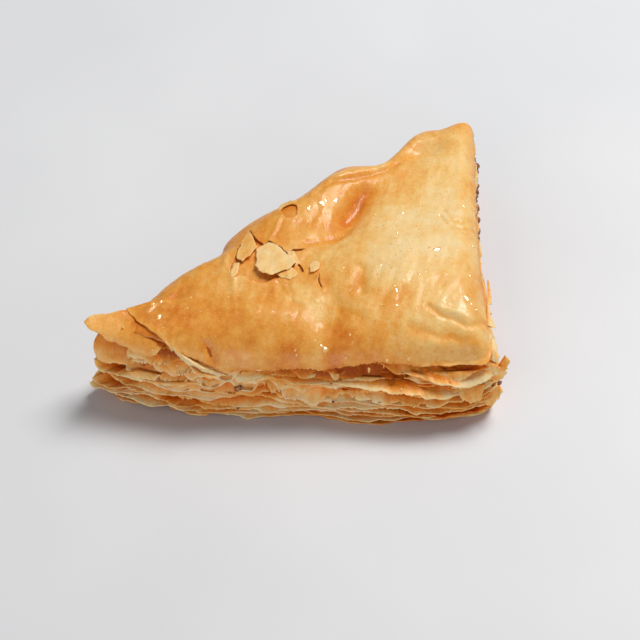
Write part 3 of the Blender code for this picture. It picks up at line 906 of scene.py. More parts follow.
# Patches where syrup lies thick on the crust: x, y, half length, half width, direction, amount
FILM_PATCHES = [
    (-27.2, -28.4, 2.6, 1.3, 35.0, 0.9), (-28.6, -25.0, 2.6, 0.8, 35.0, 0.9), (37.2, -20.5, 2.6, 2.0, -60.0, 0.4),
    (25.0, 26.5, 5.0, 2.5, 30.0, 0.5), (12.0, -29.5, 4.5, 3.0, -35.0, 0.6), (3.5, -30.5, 3.5, 2.0, 0.0, 0.6),
    (9.5, 4.0, 7.0, 3.0, 62.0, 0.35), (19.0, -13.0, 2.2, 1.2, 10.0, 0.5), (-10.0, -33.5, 3.0, 2.0, 0.0, 0.5),
]


def distance_to(points, line, closed=True):
    """Distance from each point to the nearest part of a polygon, or of a line."""
    line = np.asarray(line, float)
    starts, ends = (line, np.roll(line, -1, 0)) if closed else (line[:-1], line[1:])
    best = np.full(len(points), np.inf)
    for start, end in zip(starts, ends):
        along = end - start
        t = np.clip(((points - start) @ along) / max(along @ along, 1e-9), 0.0, 1.0)
        best = np.minimum(best, np.linalg.norm(points - start - t[:, None] * along, axis=1))
    return best


def crust_relief(points):
    """The crust's own unevenness on top of its puffs: folds, soft swells and blisters."""
    height = 0.16 * noise(points, 9.0, 11) + 0.07 * noise(stretched(points, 75.0, 1.6), 3.4, 12)
    height += 0.20 * np.clip(noise(points, 2.2, 13) - 0.45, 0.0, None)
    wander = points + 0.35 * np.column_stack([noise(points, 3.0, 17), noise(points, 3.0, 18)])
    for rise, width, line in FOLDS:
        height += rise * np.exp(-(distance_to(wander, line, False) / width) ** 2)
    height += 0.10 * noise(stretched(wander, 80.0, 2.6), 2.4, 20)
    height += 0.08 * noise(stretched(points, 78.0, 2.6), 1.3, 19)
    return height + 0.03 * noise(points, 0.9, 16)


def crust_tone_and_shading(points, inset):
    """0 where the crust is palest, 1 where it is deep amber, with painted light and shade mixed in."""
    tone = 0.52 + 0.10 * noise(points, 9.0, 21) + 0.07 * noise(points, 3.0, 22)
    # Paler over the dome, which faces the light: painted light.
    tone -= 0.42 * form_at(points, 23.0, -7.0, 17.0, 17.0, 75.0)
    # Darker in the middle valley: painted shade in the hollow, with the amber of syrup pooled there.
    tone += 0.26 * form_at(points, 10.5, 4.0, 9.0, 3.4, 62.0)
    tone -= 0.12 * form_at(points, 25.5, 25.0, 7.0, 6.0, 20.0)
    tone += 0.20 * form_at(points, 12.0, -29.5, 5.0, 3.0, -35.0)
    # Darker on the left slope, which faces away from the light: painted shade.
    tone += 0.14 * form_at(points, -22.0, -27.0, 14.0, 7.0, 20.0)
    # Paler over the right-hand part, which faces the light: painted light.
    tone -= 0.24 * form_at(points, 29.0, 15.0, 17.0, 9.0, 80.0)
    tone -= 0.20 * form_at(points, 34.0, -27.0, 10.0, 7.0, 10.0)
    tone -= 0.14 * form_at(points, -13.0, -19.0, 9.0, 6.0, 20.0)
    tone += 0.24 * form_at(points, 0.5, -33.0, 3.5, 2.0, 20.0)
    tone += 0.26 * form_at(points, 10.0, -33.0, 2.6, 1.8, 60.0)
    tone += 0.16 * form_at(points, 22.5, -21.0, 4.5, 2.5, 70.0)
    tone += 0.16 * form_at(points, 12.5, -18.0, 3.5, 2.2, 70.0)
    tone -= 0.14 * form_at(points, 4.5, -23.0, 6.0, 3.0, -40.0)
    # Painted shade: a little darker within 2 mm of the rim, and darker in creases and hollows, with painted light
    # on ridges and swells, following the relief.
    return tone + 0.08 * np.clip(1.0 - inset / 2.0, 0.0, 1.0) - 0.25 * crust_relief(points)


def crust_film(points):
    """How thick the film of syrup is."""
    film = 0.12 + 0.28 * smooth_step(0.05, 0.6, noise(points, 5.0, 31))
    for *shape, amount in FILM_PATCHES:
        film += 0.75 * amount * form_at(points, *shape)
    return np.clip(film, 0.0, 1.0)


def crust_boundary(reach, seed, crease):
    """Outline of a crust sheet at the three cuts. With crease, it ends there near the tip."""
    torn = 0.26 * noise(RIM, 3.4, seed) - 0.22 * np.abs(noise(RIM, 0.9, seed + 1))
    torn -= 0.6 * np.clip(noise(RIM, 2.8, seed + 2) - 0.55, 0.0, 1.0)
    stations = np.array([around(side, fraction) for side, fraction, _ in CRUST_REACH])
    distances = np.array([[distance] for *_, distance in CRUST_REACH])
    order = np.argsort(stations)
    reach = reach + closed_curve(stations[order], distances[order], PLACES)[:, 0]
    inset = along_outline(3, PLACES) - reach + 0.15 * noise(RIM, 10.0, seed + 3)
    line = section(PLACES, inset) + RIM_NORMAL * torn[:, None]
    cut = ragged(crease, 0.3, 0.15, seed + 4, closed=False)
    start = np.argmin(np.linalg.norm(line[:SAMPLES // 2] - cut[-1], axis=1))
    back = line[SAMPLES // 2:]
    end = SAMPLES // 2 + np.argmin(np.linalg.norm(back - cut[0], axis=1))
    return np.vstack([line[start:end], cut])


def crust_surface(points, inset=None):
    places, found = place_and_inset(points)
    return stack_height(points, places, found) + crust_relief(points) * smooth_step(0.0, 2.2, found)


def main_crust():
    """The glossy top sheet, with its broken patch cut out."""
    boundary = crust_boundary(0.0, 500, CREASE)
    holes = [ragged(PATCH, 0.35, 0.18, 520)]
    holes += [ragged(hole, 0.3, 0.12, 530 + i) for i, hole in enumerate(SMALL_HOLES)]
    rows = [section(PLACES, along_outline(3, PLACES) + depth) for depth in (0.9, 1.25, 1.65)]
    extra = np.vstack(rows)
    extra = extra[inside(extra, boundary)]
    for hole in holes:
        extra = extra[~inside(extra, hole)]
    points, faces = fill(boundary, holes, 0.40, extra)
    inset = place_and_inset(points)[1]
    height = crust_surface(points)
    for hole in holes:
        height += 0.16 * np.exp(-distance_to(points, hole) / 0.9) * (0.6 + noise(points, 2.5, 540))
    near_crease = np.exp(-distance_to(points, CREASE, False) / 1.0)
    height += 0.08 * near_crease
    tone = crust_tone_and_shading(points, inset) - 0.12 * near_crease
    piece = make_piece("top_crust", np.column_stack([points, height]), faces, CRUST,
                       {"tone": tone, "film": crust_film(points)})
    return thicken(piece, 0.22)


def second_sheet():
    """The next sheet down, which shows through the broken patch."""
    boundary = crust_boundary(-1.0, 560, SECOND_EDGE)
    points, faces = fill(boundary, [], 0.6, None, 3)
    inset = place_and_inset(points)[1]
    in_patch = inside(points, np.array(PATCH))
    height = crust_surface(points) - 0.42 - 0.22 * in_patch
    # Darker than the crust above; paler inside the broken patch, painted light for light that comes through the
    # thin crust there.
    tone = crust_tone_and_shading(points, inset) + 0.20 - 0.10 * in_patch
    piece = make_piece("second_sheet", np.column_stack([points, height]), faces, CRUST,
                       {"tone": tone, "film": 0.4 + 0.0 * tone})
    return thicken(piece, 0.25)


def tip_flap():
    """The flap over the tip. It runs in under the main sheet, from which a fold divides it."""
    back = ragged(FLAP_BACK, 0.3, 0.10, 570, closed=False)
    front = ragged(FLAP_FRONT, 0.3, 0.14, 575, closed=False)
    boundary = np.vstack([back, [(-30.0, -23.5), (-26.0, -27.5)], front])
    points, faces = fill(boundary, [], 0.38, None, 4)
    places, inset = place_and_inset(points)
    lift = 1.1 * np.exp(-distance_to(points, FLAP_BACK[1:-1], False) / 1.6)
    fold = 0.45 * np.exp(-(distance_to(points, CREASE[3:5], False) / 1.1) ** 2)
    to_crease = distance_to(points, CREASE, False)
    droop = 0.25 * np.exp(-distance_to(points, FLAP_FRONT[2:], False) / 0.9)
    under = 0.30 + 0.15 * np.exp(-to_crease / 1.0)
    height = stack_height(points, places, inset) - under + lift - fold - droop
    height += 0.20 * noise(points, 5.0, 580) + 0.08 * noise(points, 2.0, 581)
    # Painted shade: darker towards the crease, and darkest in the fold between the flap and the main sheet.
    tone = 0.44 + 0.12 * noise(points, 6.0, 582) + 0.20 * np.exp(-to_crease / 1.6)
    tone += 0.25 * np.exp(-(distance_to(points, CREASE[2:5], False) / 1.2) ** 2)
    tone -= 0.16 * np.exp(-distance_to(points, boundary) / 0.5)
    piece = make_piece("tip_flap", np.column_stack([points, height]), faces, CRUST,
                       {"tone": tone, "film": 0.15 + 0.0 * tone})
    return thicken(piece, 0.22)


# ---------------------------------------------------------------------------------------------
# Loose flakes, frayed shreds, nuts and syrup
# ---------------------------------------------------------------------------------------------
# Outline, lift of the middle, slope to the right, slope to the back, tone
FLAKES = {
    "big": ([(-8.9, -9.7), (-6.6, -7.6), (-4.6, -8.3), (-2.3, -10.6), (0.1, -12.7), (-0.7, -14.4),
             (-2.9, -15.6), (-4.7, -16.8), (-6.7, -16.2), (-8.5, -14.6), (-8.4, -12.2)],
            0.42, 0.02, -0.03, 0.16),
    "left": ([(-11.5, -4.0), (-12.5, -6.8), (-12.9, -9.6), (-13.0, -12.2), (-11.5, -13.2), (-10.2, -11.7),
              (-8.8, -9.2), (-10.1, -6.7)], 0.18, 0.09, 0.02, 0.36),
    "lower": ([(-13.2, -13.6), (-11.9, -13.3), (-12.1, -15.1), (-12.3, -16.8), (-13.0, -17.6),
               (-13.6, -16.2)], 0.15, 0.05, 0.0, 0.24),
    "curled": ([(-2.4, -10.1), (-1.0, -9.8), (0.2, -11.1), (0.9, -12.4), (0.2, -13.1), (-1.3, -11.8)],
               0.20, -0.08, 0.06, 0.22),
    "under": ([(-3.6, -15.9), (-2.0, -14.9), (-0.4, -14.2), (0.6, -15.0), (1.0, -16.0), (-0.6, -17.1),
               (-2.4, -16.8)], 0.18, 0.0, 0.03, 0.26),
    "small": ([(3.4, -12.2), (4.5, -12.2), (5.2, -12.8), (5.2, -14.1), (4.5, -15.3), (3.4, -15.2),
               (3.2, -13.6)], 0.42, 0.03, -0.08, 0.14),
    "top": ([(-6.2, 2.2), (-5.6, 4.2), (-3.9, 5.4), (-2.0, 5.0), (-2.4, 4.2), (-3.9, 4.2), (-5.0, 3.1)],
            0.25, 0.0, 0.04, 0.30),
}


def loose_flakes():
    """Shards of the crust that lie loose over the broken patch."""
    gathered = Gathered()
    for number, (outline, lift, slope_x, slope_y, tone) in enumerate(FLAKES.values()):
        boundary = ragged(outline, 0.28, 0.22, 600 + 9 * number)
        points, faces = fill(boundary, [], 0.32, None, 610 + number)
        middle = np.mean(outline, 0)
        offset = points - middle
        centre = crust_surface(middle[None, :])[0]
        height = centre + 0.5 * (crust_surface(points) - centre) + lift
        height += slope_x * offset[:, 0] + slope_y * offset[:, 1]
        height += 0.16 * noise(points, 2.6, 620 + number) + 0.05 * noise(points, 0.9, 630 + number)
        edge = np.exp(-distance_to(points, boundary) / 0.4)
        gathered.add(np.column_stack([points, height]), faces,
                     tone=tone + 0.06 * noise(points, 2.0, 640) - 0.08 * edge, film=0.1)
    return thicken(gathered.piece("loose_flakes", CRUST, "baked_crust"), 0.20)


def even_line(points, count):
    """A smooth line through a few points, as that many."""
    points = np.asarray(points, float)
    given, wanted = np.linspace(0, 1, len(points)), np.linspace(0, 1, count)
    line = np.column_stack([np.interp(wanted, given, points[:, i]) for i in range(3)])
    for _ in range(count // 6):
        line[1:-1] = 0.25 * line[:-2] + 0.5 * line[1:-1] + 0.25 * line[2:]
    return line


def shred(inner, outer, tone, seed, target, bulge=0.25, tear=0.75):
    """A torn shred of a sheet between two lines, the outer of which is its ragged edge."""
    length = np.linalg.norm(np.diff(np.asarray(outer, float), axis=0), axis=1).sum()
    count = max(14, int(length / 0.16))
    inner, outer = even_line(inner, count), even_line(outer, count)
    across = outer - inner
    width = np.linalg.norm(across, axis=1)[:, None]
    normal = np.cross(np.gradient(0.5 * (inner + outer), axis=0), across)
    normal /= np.linalg.norm(normal, axis=1)[:, None] + 1e-9
    normal *= np.where(normal[:, 2:] < 0, -1.0, 1.0)
    along = np.column_stack([np.linspace(0, length, count), np.full(count, 3.7 * seed)])
    jag = tear * (0.6 * noise(along, 1.7, seed) - np.abs(noise(along, 0.6, seed + 1)))[:, None]
    share = np.linspace(0.0, 1.0, count)
    ends = np.sqrt(smooth_step(0.0, 0.22, share) * smooth_step(0.0, 0.22, 1.0 - share))[:, None]
    across = across * (0.05 + 0.95 * ends)
    rows, tones = [], []
    for part in (0.0, 0.2, 0.4, 0.6, 0.8, 0.92, 1.0):
        ripple = 0.10 * noise(along + [0.0, 2.0 * part], 0.9, seed + 2)[:, None]
        out = bulge * math.sin(math.pi * part) + ripple
        rows.append(inner + across * (part + np.clip(jag / (width + 0.2), -0.6, 0.6) * part ** 3) + normal * out)
        tones.append(tone + 0.16 * noise(along, 1.5, seed + 3) + 0.30 * (1.0 - part) ** 2 - 0.16 * part ** 6)
    i, j = np.meshgrid(np.arange(len(rows) - 1), np.arange(count - 1), indexing="ij")
    a = (i * count + j).ravel()
    faces = np.column_stack([a, a + 1, a + count + 1, a + count])
    target.add(np.vstack(rows), faces, tone=np.concatenate(tones))


# Shreds near the tip, where the main sheet's edge is frayed: inner line, outer line, tone
FRINGE = [
    ([(-25.5, -32.8, 20.6), (-21.8, -34.0, 18.6), (-17.6, -34.9, 16.8), (-13.5, -35.4, 15.2)],
     [(-24.6, -34.6, 19.0), (-22.9, -35.4, 16.6), (-20.4, -36.2, 14.8), (-17.6, -36.5, 13.9),
      (-14.4, -36.5, 13.9)], 0.36),
    ([(-25.1, -33.3, 21.0), (-22.0, -33.9, 19.3), (-17.8, -34.9, 17.5), (-14.7, -35.7, 15.8), (-12.0, -36.2, 14.4)],
     [(-24.9, -34.1, 19.9), (-22.2, -35.0, 17.8), (-19.4, -35.9, 16.2), (-15.8, -36.5, 14.6), (-12.0, -36.5, 13.9)],
     0.10),
    ([(-23.6, -33.9, 20.2), (-20.3, -35.0, 18.3), (-16.5, -35.8, 16.4), (-13.2, -36.2, 14.7)],
     [(-23.4, -34.7, 19.2), (-20.4, -35.8, 16.9), (-17.0, -36.4, 15.4), (-13.3, -36.6, 14.3)], 0.00),
    ([(-21.4, -35.1, 19.0), (-18.4, -35.9, 17.4), (-16.6, -36.3, 16.3)],
     [(-21.5, -35.5, 18.4), (-18.3, -36.3, 16.8), (-16.5, -36.6, 15.9)], -0.08),
    ([(-19.8, -36.1, 16.6), (-17.2, -36.6, 15.2), (-14.6, -36.8, 14.4)],
     [(-19.9, -36.7, 15.6), (-17.4, -37.0, 14.2), (-14.4, -37.0, 14.0)], 0.10),
]
# Shreds and torn laps of the sheets along the front cut
FRONT_SHREDS = [
    ([(-12.4, -34.8, 14.6), (-9.6, -35.2, 14.1), (-6.7, -34.9, 14.0), (-3.7, -34.5, 14.2), (-1.8, -34.4, 14.0)],
     [(-12.0, -35.6, 13.0), (-9.7, -36.3, 12.0), (-6.7, -36.3, 11.8), (-4.2, -35.4, 12.7), (-1.6, -34.7, 13.3)],
     0.10),
    ([(2.5, -33.4, 13.5), (4.6, -33.3, 13.5), (6.7, -33.2, 13.4)],
     [(3.0, -34.1, 12.8), (4.9, -34.4, 12.4), (6.7, -33.9, 12.8)], 0.12),
    ([(8.6, -32.9, 14.0), (10.9, -32.7, 14.2), (12.6, -32.6, 14.0)],
     [(8.9, -33.9, 12.7), (10.5, -34.2, 12.1), (12.4, -33.4, 13.0)], 0.34),
    ([(6.8, -34.8, 11.7), (9.8, -34.7, 11.7), (12.4, -33.6, 12.6), (16.0, -33.1, 12.8), (20.8, -33.0, 12.6)],
     [(7.2, -35.3, 10.7), (10.6, -35.3, 10.5), (13.0, -34.2, 11.5), (16.4, -33.7, 11.9), (21.0, -33.4, 11.7)],
     0.08),
    ([(24.8, -33.0, 13.0), (28.2, -32.4, 13.9), (32.3, -31.8, 14.2), (36.4, -31.6, 14.3), (39.8, -31.3, 14.6)],
     [(25.6, -33.3, 12.0), (29.0, -33.8, 11.5), (32.8, -33.5, 11.6), (36.1, -32.8, 12.4), (40.0, -31.8, 13.6)],
     0.16),
    ([(29.8, -33.5, 11.0), (32.7, -33.3, 11.2), (36.1, -33.3, 11.0)],
     [(29.0, -34.6, 9.4), (32.0, -35.0, 9.0), (35.8, -35.0, 8.6)], 0.22),
    ([(35.4, -32.8, 11.4), (38.6, -32.5, 12.0), (41.5, -32.3, 11.6)],
     [(36.0, -34.6, 8.6), (39.1, -34.7, 7.6), (41.6, -34.2, 8.0)], 0.30),
    ([(-33.6, -35.9, 13.4), (-31.7, -35.6, 13.8), (-28.9, -35.7, 13.4), (-26.8, -35.9, 13.0)],
     [(-33.4, -36.2, 12.0), (-31.7, -36.5, 11.0), (-29.2, -36.6, 11.0), (-26.9, -36.3, 12.0)], 0.10),
    ([(-31.2, -36.3, 11.8), (-25.9, -36.6, 11.4), (-19.4, -36.2, 11.9), (-13.0, -35.8, 12.4)],
     [(-30.8, -36.6, 11.0), (-25.9, -37.0, 10.3), (-19.5, -36.6, 10.9), (-13.1, -36.2, 11.2)], 0.12),
]
# Shreds and flakes that stand out at the front corner of the right cut
CORNER_FLAKES = [
    ([(40.5, -26.5, 17.7), (42.4, -26.9, 17.4), (43.9, -28.2, 16.4)],
     [(41.2, -28.4, 16.4), (43.2, -29.4, 15.2), (44.9, -29.9, 15.0)], 0.00),
    ([(40.4, -29.4, 15.2), (41.9, -29.2, 15.3), (44.6, -30.2, 14.9)],
     [(41.2, -30.6, 13.2), (43.0, -31.2, 12.2), (45.0, -31.0, 13.2)], 0.02),
    ([(45.5, -28.7, 16.9), (44.5, -29.5, 15.4), (43.7, -30.2, 13.7), (42.7, -31.0, 12.2), (41.9, -31.6, 11.2)],
     [(46.9, -28.6, 16.8), (46.8, -29.4, 15.0), (45.9, -30.5, 12.8), (44.5, -31.4, 11.2), (42.7, -32.0, 10.2)],
     0.22),
    ([(40.6, -14.5, 18.7), (41.0, -18.5, 18.5), (41.2, -22.0, 18.0)],
     [(41.1, -15.8, 18.3), (42.2, -19.4, 17.8), (44.0, -23.4, 17.2)], 0.05),
    ([(41.0, -22.0, 17.9), (41.4, -24.4, 17.8), (41.2, -26.4, 17.6)],
     [(42.4, -22.6, 17.0), (43.0, -24.8, 16.8), (42.4, -26.6, 16.6)], 0.02),
    ([(41.0, -20.4, 18.2), (41.6, -23.6, 17.6), (42.2, -26.6, 17.0), (42.8, -29.2, 16.2)],
     [(41.8, -20.8, 17.4), (43.2, -23.8, 16.6), (44.2, -26.8, 16.0), (44.8, -29.8, 15.0)], 0.04),
    ([(40.4, -10.0, 18.8), (40.8, -13.0, 18.6), (41.0, -16.4, 18.3)],
     [(41.0, -10.4, 18.0), (41.6, -13.4, 17.6), (42.2, -16.8, 17.2)], 0.06),
    ([(42.4, -26.8, 15.2), (43.0, -28.6, 14.8), (43.2, -30.2, 14.0)],
     [(43.8, -26.6, 14.2), (44.6, -28.8, 13.6), (44.8, -30.6, 12.8)], 0.12),
    ([(41.0, -29.8, 9.6), (42.8, -30.2, 9.4), (44.6, -30.2, 8.4)],
     [(40.8, -32.3, 4.2), (42.9, -32.3, 3.8), (45.4, -31.0, 6.6)], 0.26),
    ([(43.8, -30.6, 7.6), (44.6, -30.2, 7.9)], [(44.6, -31.4, 6.4), (45.6, -30.7, 7.6)], 0.10),
    ([(39.2, -29.4, 9.0), (41.0, -29.8, 9.6), (42.4, -30.0, 10.6)],
     [(39.8, -31.0, 6.6), (41.4, -31.4, 7.2), (43.2, -31.4, 8.8)], 0.16),
]


def shreds(name, table, seed):
    gathered = Gathered()
    for number, (inner, outer, tone) in enumerate(table):
        shred(inner, outer, tone, seed + 10 * number, gathered)
    return thicken(gathered.piece(name, SHEETS, "layered_pastry"), 0.12)


def lump(centre, size, seed, target):
    """A chopped nut piece: a rough angular stone."""
    rings, turns = 5, 8
    rows = [[(0.0, 0.0, -1.0)]]
    for r in range(1, rings):
        tilt = math.pi * (r / rings) - math.pi / 2
        rows.append([(math.cos(tilt) * math.cos(2 * math.pi * (k + 0.5 * (r % 2)) / turns),
                      math.cos(tilt) * math.sin(2 * math.pi * (k + 0.5 * (r % 2)) / turns),
                      math.sin(tilt)) for k in range(turns)])
    rows.append([(0.0, 0.0, 1.0)])
    unit = np.array([p for row in rows for p in row])
    seeds = np.random.default_rng(seed)
    bumps = 1.0 + 0.28 * seeds.uniform(-1, 1, len(unit))
    shape = unit * bumps[:, None] * np.asarray(size) * 0.5
    turn = seeds.uniform(0, math.pi)
    c, s = math.cos(turn), math.sin(turn)
    shape = np.column_stack([c * shape[:, 0] - s * shape[:, 1], s * shape[:, 0] + c * shape[:, 1], shape[:, 2]])
    faces = []
    for k in range(turns):
        n = (k + 1) % turns
        faces.append((0, 1 + n, 1 + k))
        for r in range(rings - 2):
            a, b = 1 + r * turns, 1 + (r + 1) * turns
            faces += [(a + k, a + n, b + n), (a + k, b + n, b + k)]
        last = 1 + (rings - 2) * turns
        faces.append((last + k, last + n, len(unit) - 1))
    target.add(shape + np.asarray(centre), np.array(faces))


# Single nut bits that show at the cuts: side, fraction, distance in, height, size
NUT_BITS = [("front", 0.385, 0.5, 10.6, 2.4), ("front", 0.375, 0.4, 3.4, 1.1), ("right", 0.06, 1.3, 16.4, 0.9),
            ("right", 0.02, 0.4, 9.6, 0.8), ("right", 0.04, -0.2, 8.6, 1.2), ("right", 0.00, 0.6, 9.4, 0.7),
            ("right", 0.20, 0.7, 17.0, 0.8), ("front", 0.61, -0.1, 7.0, 0.6), ("front", 0.76, 2.2, 13.0, 0.8),
            ("front", 0.80, 2.0, 14.6, 0.4), ("front", 0.995, 0.6, 11.6, 0.6)]


def nut_filling():
    """Chopped nuts in the gap between the lower and the upper sheets, thickest at the right cut."""
    gathered = Gathered()
    seeds = np.random.default_rng(71)
    for number in range(420):
        share = seeds.uniform(0.0, 1.0)
        place = around("right", share) if number < 300 else share * COUNT
        shown = lens(np.array([place]), around("right", 0.78), 14.0)[0]
        inset = seeds.uniform(0.0, 2.6) + 1.6 - 1.5 * shown
        point = section(np.array([place]), inset)
        sample = int(place / COUNT * SAMPLES) % SAMPLES
        low, high = SHARES[LOWER_LINES - 1, sample], SHARES[LOWER_LINES, sample]
        top = stack_height(point, np.array([place]), np.array([inset]))[0]
        middle = (low + (high - low) * seeds.uniform(0.25, 0.8)) * top
        size = seeds.uniform(0.8, 1.9) * (0.7 + 0.5 * shown)
        lump((*point[0], middle), (size, size * seeds.uniform(0.6, 1.0), size * 0.7), 1000 + number, gathered)
    for number, (side, fraction, inset, height, size) in enumerate(NUT_BITS):
        point = section(np.array([around(side, fraction)]), inset)[0]
        lump((*point, height), (size, size * 0.8, size * 0.7), 1600 + number, gathered)
    piece = gathered.piece("nut_bits", NUTS, "nut_filling")
    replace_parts(piece, "nut_filling")
    return piece


def bead(centre, radius, height, target, slope=None):
    """A flattened drop of syrup on the crust. With slope, its top is nearly flat and leans that way."""
    turns, rings = 16, 5
    phase = 3.0 * centre[0] + centre[1]
    rows = []
    for r in range(1, rings + 1):
        reach = r / rings
        for k in range(turns):
            angle = 2 * math.pi * k / turns
            wobble = 1 + 0.18 * math.sin(2 * angle + phase) + 0.10 * math.sin(3 * angle + 2 * phase)
            rows.append((centre[0] + radius * reach * wobble * math.cos(angle),
                         centre[1] + radius * reach * wobble * math.sin(angle), reach))
    flat = np.array([(centre[0], centre[1], 0.0)] + rows)
    surface = crust_surface(flat[:, :2])
    if slope is None:
        thickness = height * (1.0 - flat[:, 2] ** 2)
    else:
        top = surface[0] + (flat[:, :2] - flat[0, :2]) @ np.array(slope) + 0.3 * height * (1.0 - flat[:, 2] ** 2)
        thickness = (top - surface).clip(0.0, 0.6) * (1.0 - flat[:, 2] ** 8)
    z = surface + thickness - 0.02
    faces = [(0, 1 + k, 1 + (k + 1) % turns) for k in range(turns)]
    for r in range(rings - 1):
        for k in range(turns):
            n = (k + 1) % turns
            a, b = 1 + r * turns, 1 + (r + 1) * turns
            faces += [(a + k, b + k, b + n), (a + k, b + n, a + n)]
    target.add(np.column_stack([flat[:, :2], z]), np.array(faces))


# Drops on the crust: x, y, radius
SYRUP_DROPS = [
    (29.8, -7.9, 1.0), (28.0, -7.6, 0.35), (36.9, -19.6, 0.8), (38.9, -21.4, 0.5), (37.9, -20.6, 0.4),
    (22.4, -19.4, 0.5), (21.6, -18.4, 0.35), (22.8, -22.9, 0.4), (34.0, 7.2, 0.5), (36.8, -3.5, 0.45),
    (37.0, -13.0, 0.4), (0.9, 2.6, 0.8), (3.5, 4.3, 0.8), (4.2, 5.2, 0.5), (6.2, 5.7, 0.7), (20.6, -5.5, 0.35),
    (21.0, -3.8, 0.4), (19.9, -7.4, 0.3), (21.3, 3.2, 0.4), (18.5, -13.4, 0.4), (20.1, -13.1, 0.25),
    (10.2, -11.0, 0.3), (10.4, -13.7, 0.35), (-26.9, -28.3, 0.9), (-29.0, -24.7, 0.6), (-27.4, -23.9, 0.5),
    (8.6, -31.6, 0.8), (7.6, -31.2, 0.4), (26.5, -15.0, 0.35), (28.0, -14.2, 0.3), (31.0, 1.0, 0.25),
]
DROP_SLOPE = (-0.30, 0.18)     # how the larger drops' tops lean, where syrup ran forward and to the right
# Drops at the cuts: side, fraction, distance in, height, size
CUT_DROPS = [
    ("front", 0.775, 1.0, 11.6, 0.8), ("front", 0.80, 0.9, 11.0, 0.7), ("front", 0.90, 1.6, 13.6, 0.7),
    ("front", 0.62, 1.4, 14.4, 0.9), ("front", 0.66, 0.1, 8.6, 0.5), ("front", 0.70, 0.1, 8.2, 0.5),
    ("front", 0.72, 0.1, 7.8, 0.7), ("front", 0.52, 0.3, 11.2, 0.4), ("front", 0.50, 0.3, 11.8, 0.4),
    ("front", 0.44, 1.0, 13.6, 0.5), ("front", 0.87, 1.6, 14.2, 0.3), ("front", 0.93, 0.6, 9.0, 0.5),
    ("front", 0.39, 0.6, 15.0, 0.6), ("front", 0.25, 0.2, 17.4, 0.4), ("front", 0.27, 0.2, 16.6, 0.3),
]


def syrup_drops():
    """Drops of syrup that catch the light, and many tiny ones."""
    gathered = Gathered()
    for x, y, radius in SYRUP_DROPS:
        bead((x, y), radius, 0.24 * radius, gathered, DROP_SLOPE if radius > 0.36 else None)
    seeds = np.random.default_rng(88)
    for _ in range(420):
        place, inset = seeds.uniform(0, COUNT), seeds.uniform(1.2, 20.0)
        x, y = section(np.array([place]), inset)[0]
        radius = 0.09 + 0.20 * seeds.uniform() ** 3
        bead((x, y), radius, 0.45 * radius, gathered)
    for number, (side, fraction, inset, height, size) in enumerate(CUT_DROPS):
        point = section(np.array([around(side, fraction)]), inset)[0]
        lump((*point, height), (size, size * 0.7, size * 0.45), 1800 + number, gathered)
    return gathered.piece("syrup_drops", SYRUP, "baked_crust")


# ---------------------------------------------------------------------------------------------
# Floor, light and camera
# ---------------------------------------------------------------------------------------------
def floor():
    mesh = bpy.data.meshes.new("floor")
    half = 1.5
    mesh.from_pydata([(-half, -half, 0), (half, -half, 0), (half, half, 0), (-half, half, 0)], [], [(0, 1, 2, 3)])
    s = Shader("floor")
    shade = s.ramp(s.noise(60.0, 2.0), (0.3, colour(224, 226, 230)), (0.7, colour(230, 232, 235)))
    s.link(shade, "Base Color")
    s.set(Roughness=0.6)
    mesh.materials.append(s.material)
    plane = bpy.data.objects.new("floor", mesh)
    bpy.context.scene.collection.objects.link(plane)


def area_light(name, azimuth, elevation, distance, size, power, tint):
    """A square light that looks at the piece. Azimuth 0 is in front, 90 to the right."""
    light = bpy.data.lights.new(name, "AREA")
    light.size = size
    light.energy = power
    light.color = tint
    lamp = bpy.data.objects.new(name, light)
    a, e = math.radians(azimuth), math.radians(elevation)
    away = Vector((math.sin(a) * math.cos(e), -math.cos(a) * math.cos(e), math.sin(e)))
    lamp.location = away * distance
    lamp.rotation_euler = away.to_track_quat("Z", "Y").to_euler()
    bpy.context.scene.collection.objects.link(lamp)


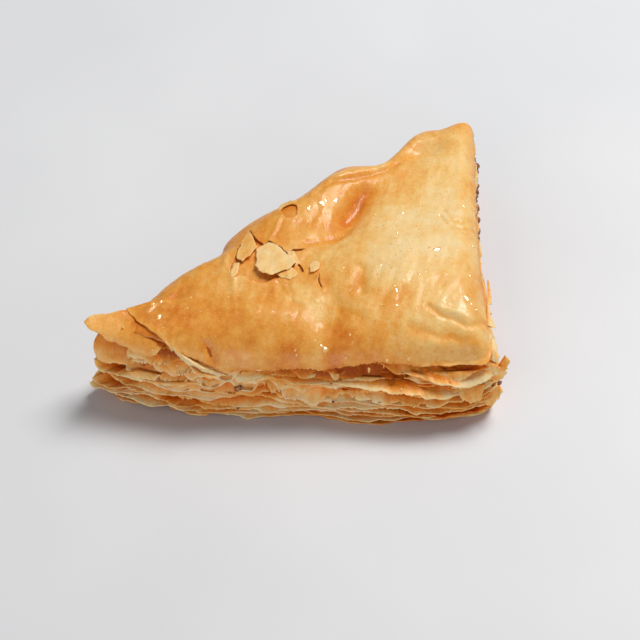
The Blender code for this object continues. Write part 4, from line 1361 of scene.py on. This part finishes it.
def lights():
    area_light("key", 133.0, 61.0, 0.9, 0.36, 7.1, (1.0, 0.985, 0.965))
    area_light("fill", -14.0, 7.0, 1.2, 0.9, 7.3, (1.0, 0.93, 0.84))
    world = bpy.data.worlds.new("studio")
    world.use_nodes = True
    background = world.node_tree.nodes["Background"]
    background.inputs["Color"].default_value = (0.97, 0.985, 1.0, 1.0)
    background.inputs["Strength"].default_value = 0.18
    bpy.context.scene.world = world


CAMERA_AZIMUTH = 11.8
CAMERA_ELEVATION = 50.0
CAMERA_DISTANCE = 445.0        # to the middle of the plate
CAMERA_ROLL = 6.0
PLATE_CENTRE = (6.8, -9.7, 0.0)
LENS = 112.5


def camera():
    """The view down on the front cut, turned so that the piece lies a little above the middle."""
    data = bpy.data.cameras.new("camera")
    data.lens = LENS
    view = bpy.data.objects.new("camera", data)
    a, e, roll = (math.radians(x) for x in (CAMERA_AZIMUTH, CAMERA_ELEVATION, CAMERA_ROLL))
    away = Vector((math.sin(a) * math.cos(e), -math.cos(a) * math.cos(e), math.sin(e)))
    level = Vector((math.cos(a), math.sin(a), 0.0))
    upward = away.cross(level)
    right = level * math.cos(roll) - upward * math.sin(roll)
    up = level * math.sin(roll) + upward * math.cos(roll)
    view.location = (Vector(PLATE_CENTRE) + away * CAMERA_DISTANCE) * MM
    aim = (-away - right * 0.0085 + up * 0.0035).normalized()
    right = aim.cross(up).normalized()
    up = right.cross(aim)
    turn = Matrix((right, up, -aim)).transposed()
    view.matrix_world = Matrix.LocRotScale(view.location, turn, None)
    data.clip_start, data.clip_end = 0.01, 10.0
    bpy.context.scene.collection.objects.link(view)
    bpy.context.scene.camera = view


def build():
    stack_of_sheets()
    soaked_core()
    tip_curl()
    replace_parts(main_crust(), "upper_pastry")
    second_sheet()
    tip_flap()
    loose_flakes()
    shreds("tip_fringe", FRINGE, 700)
    shreds("front_shreds", FRONT_SHREDS, 1100)
    shreds("corner_flakes", CORNER_FLAKES, 900)
    nut_filling()
    syrup_drops()
    floor()
    lights()
    camera()
    bpy.context.scene.view_settings.view_transform = "Standard"


build()
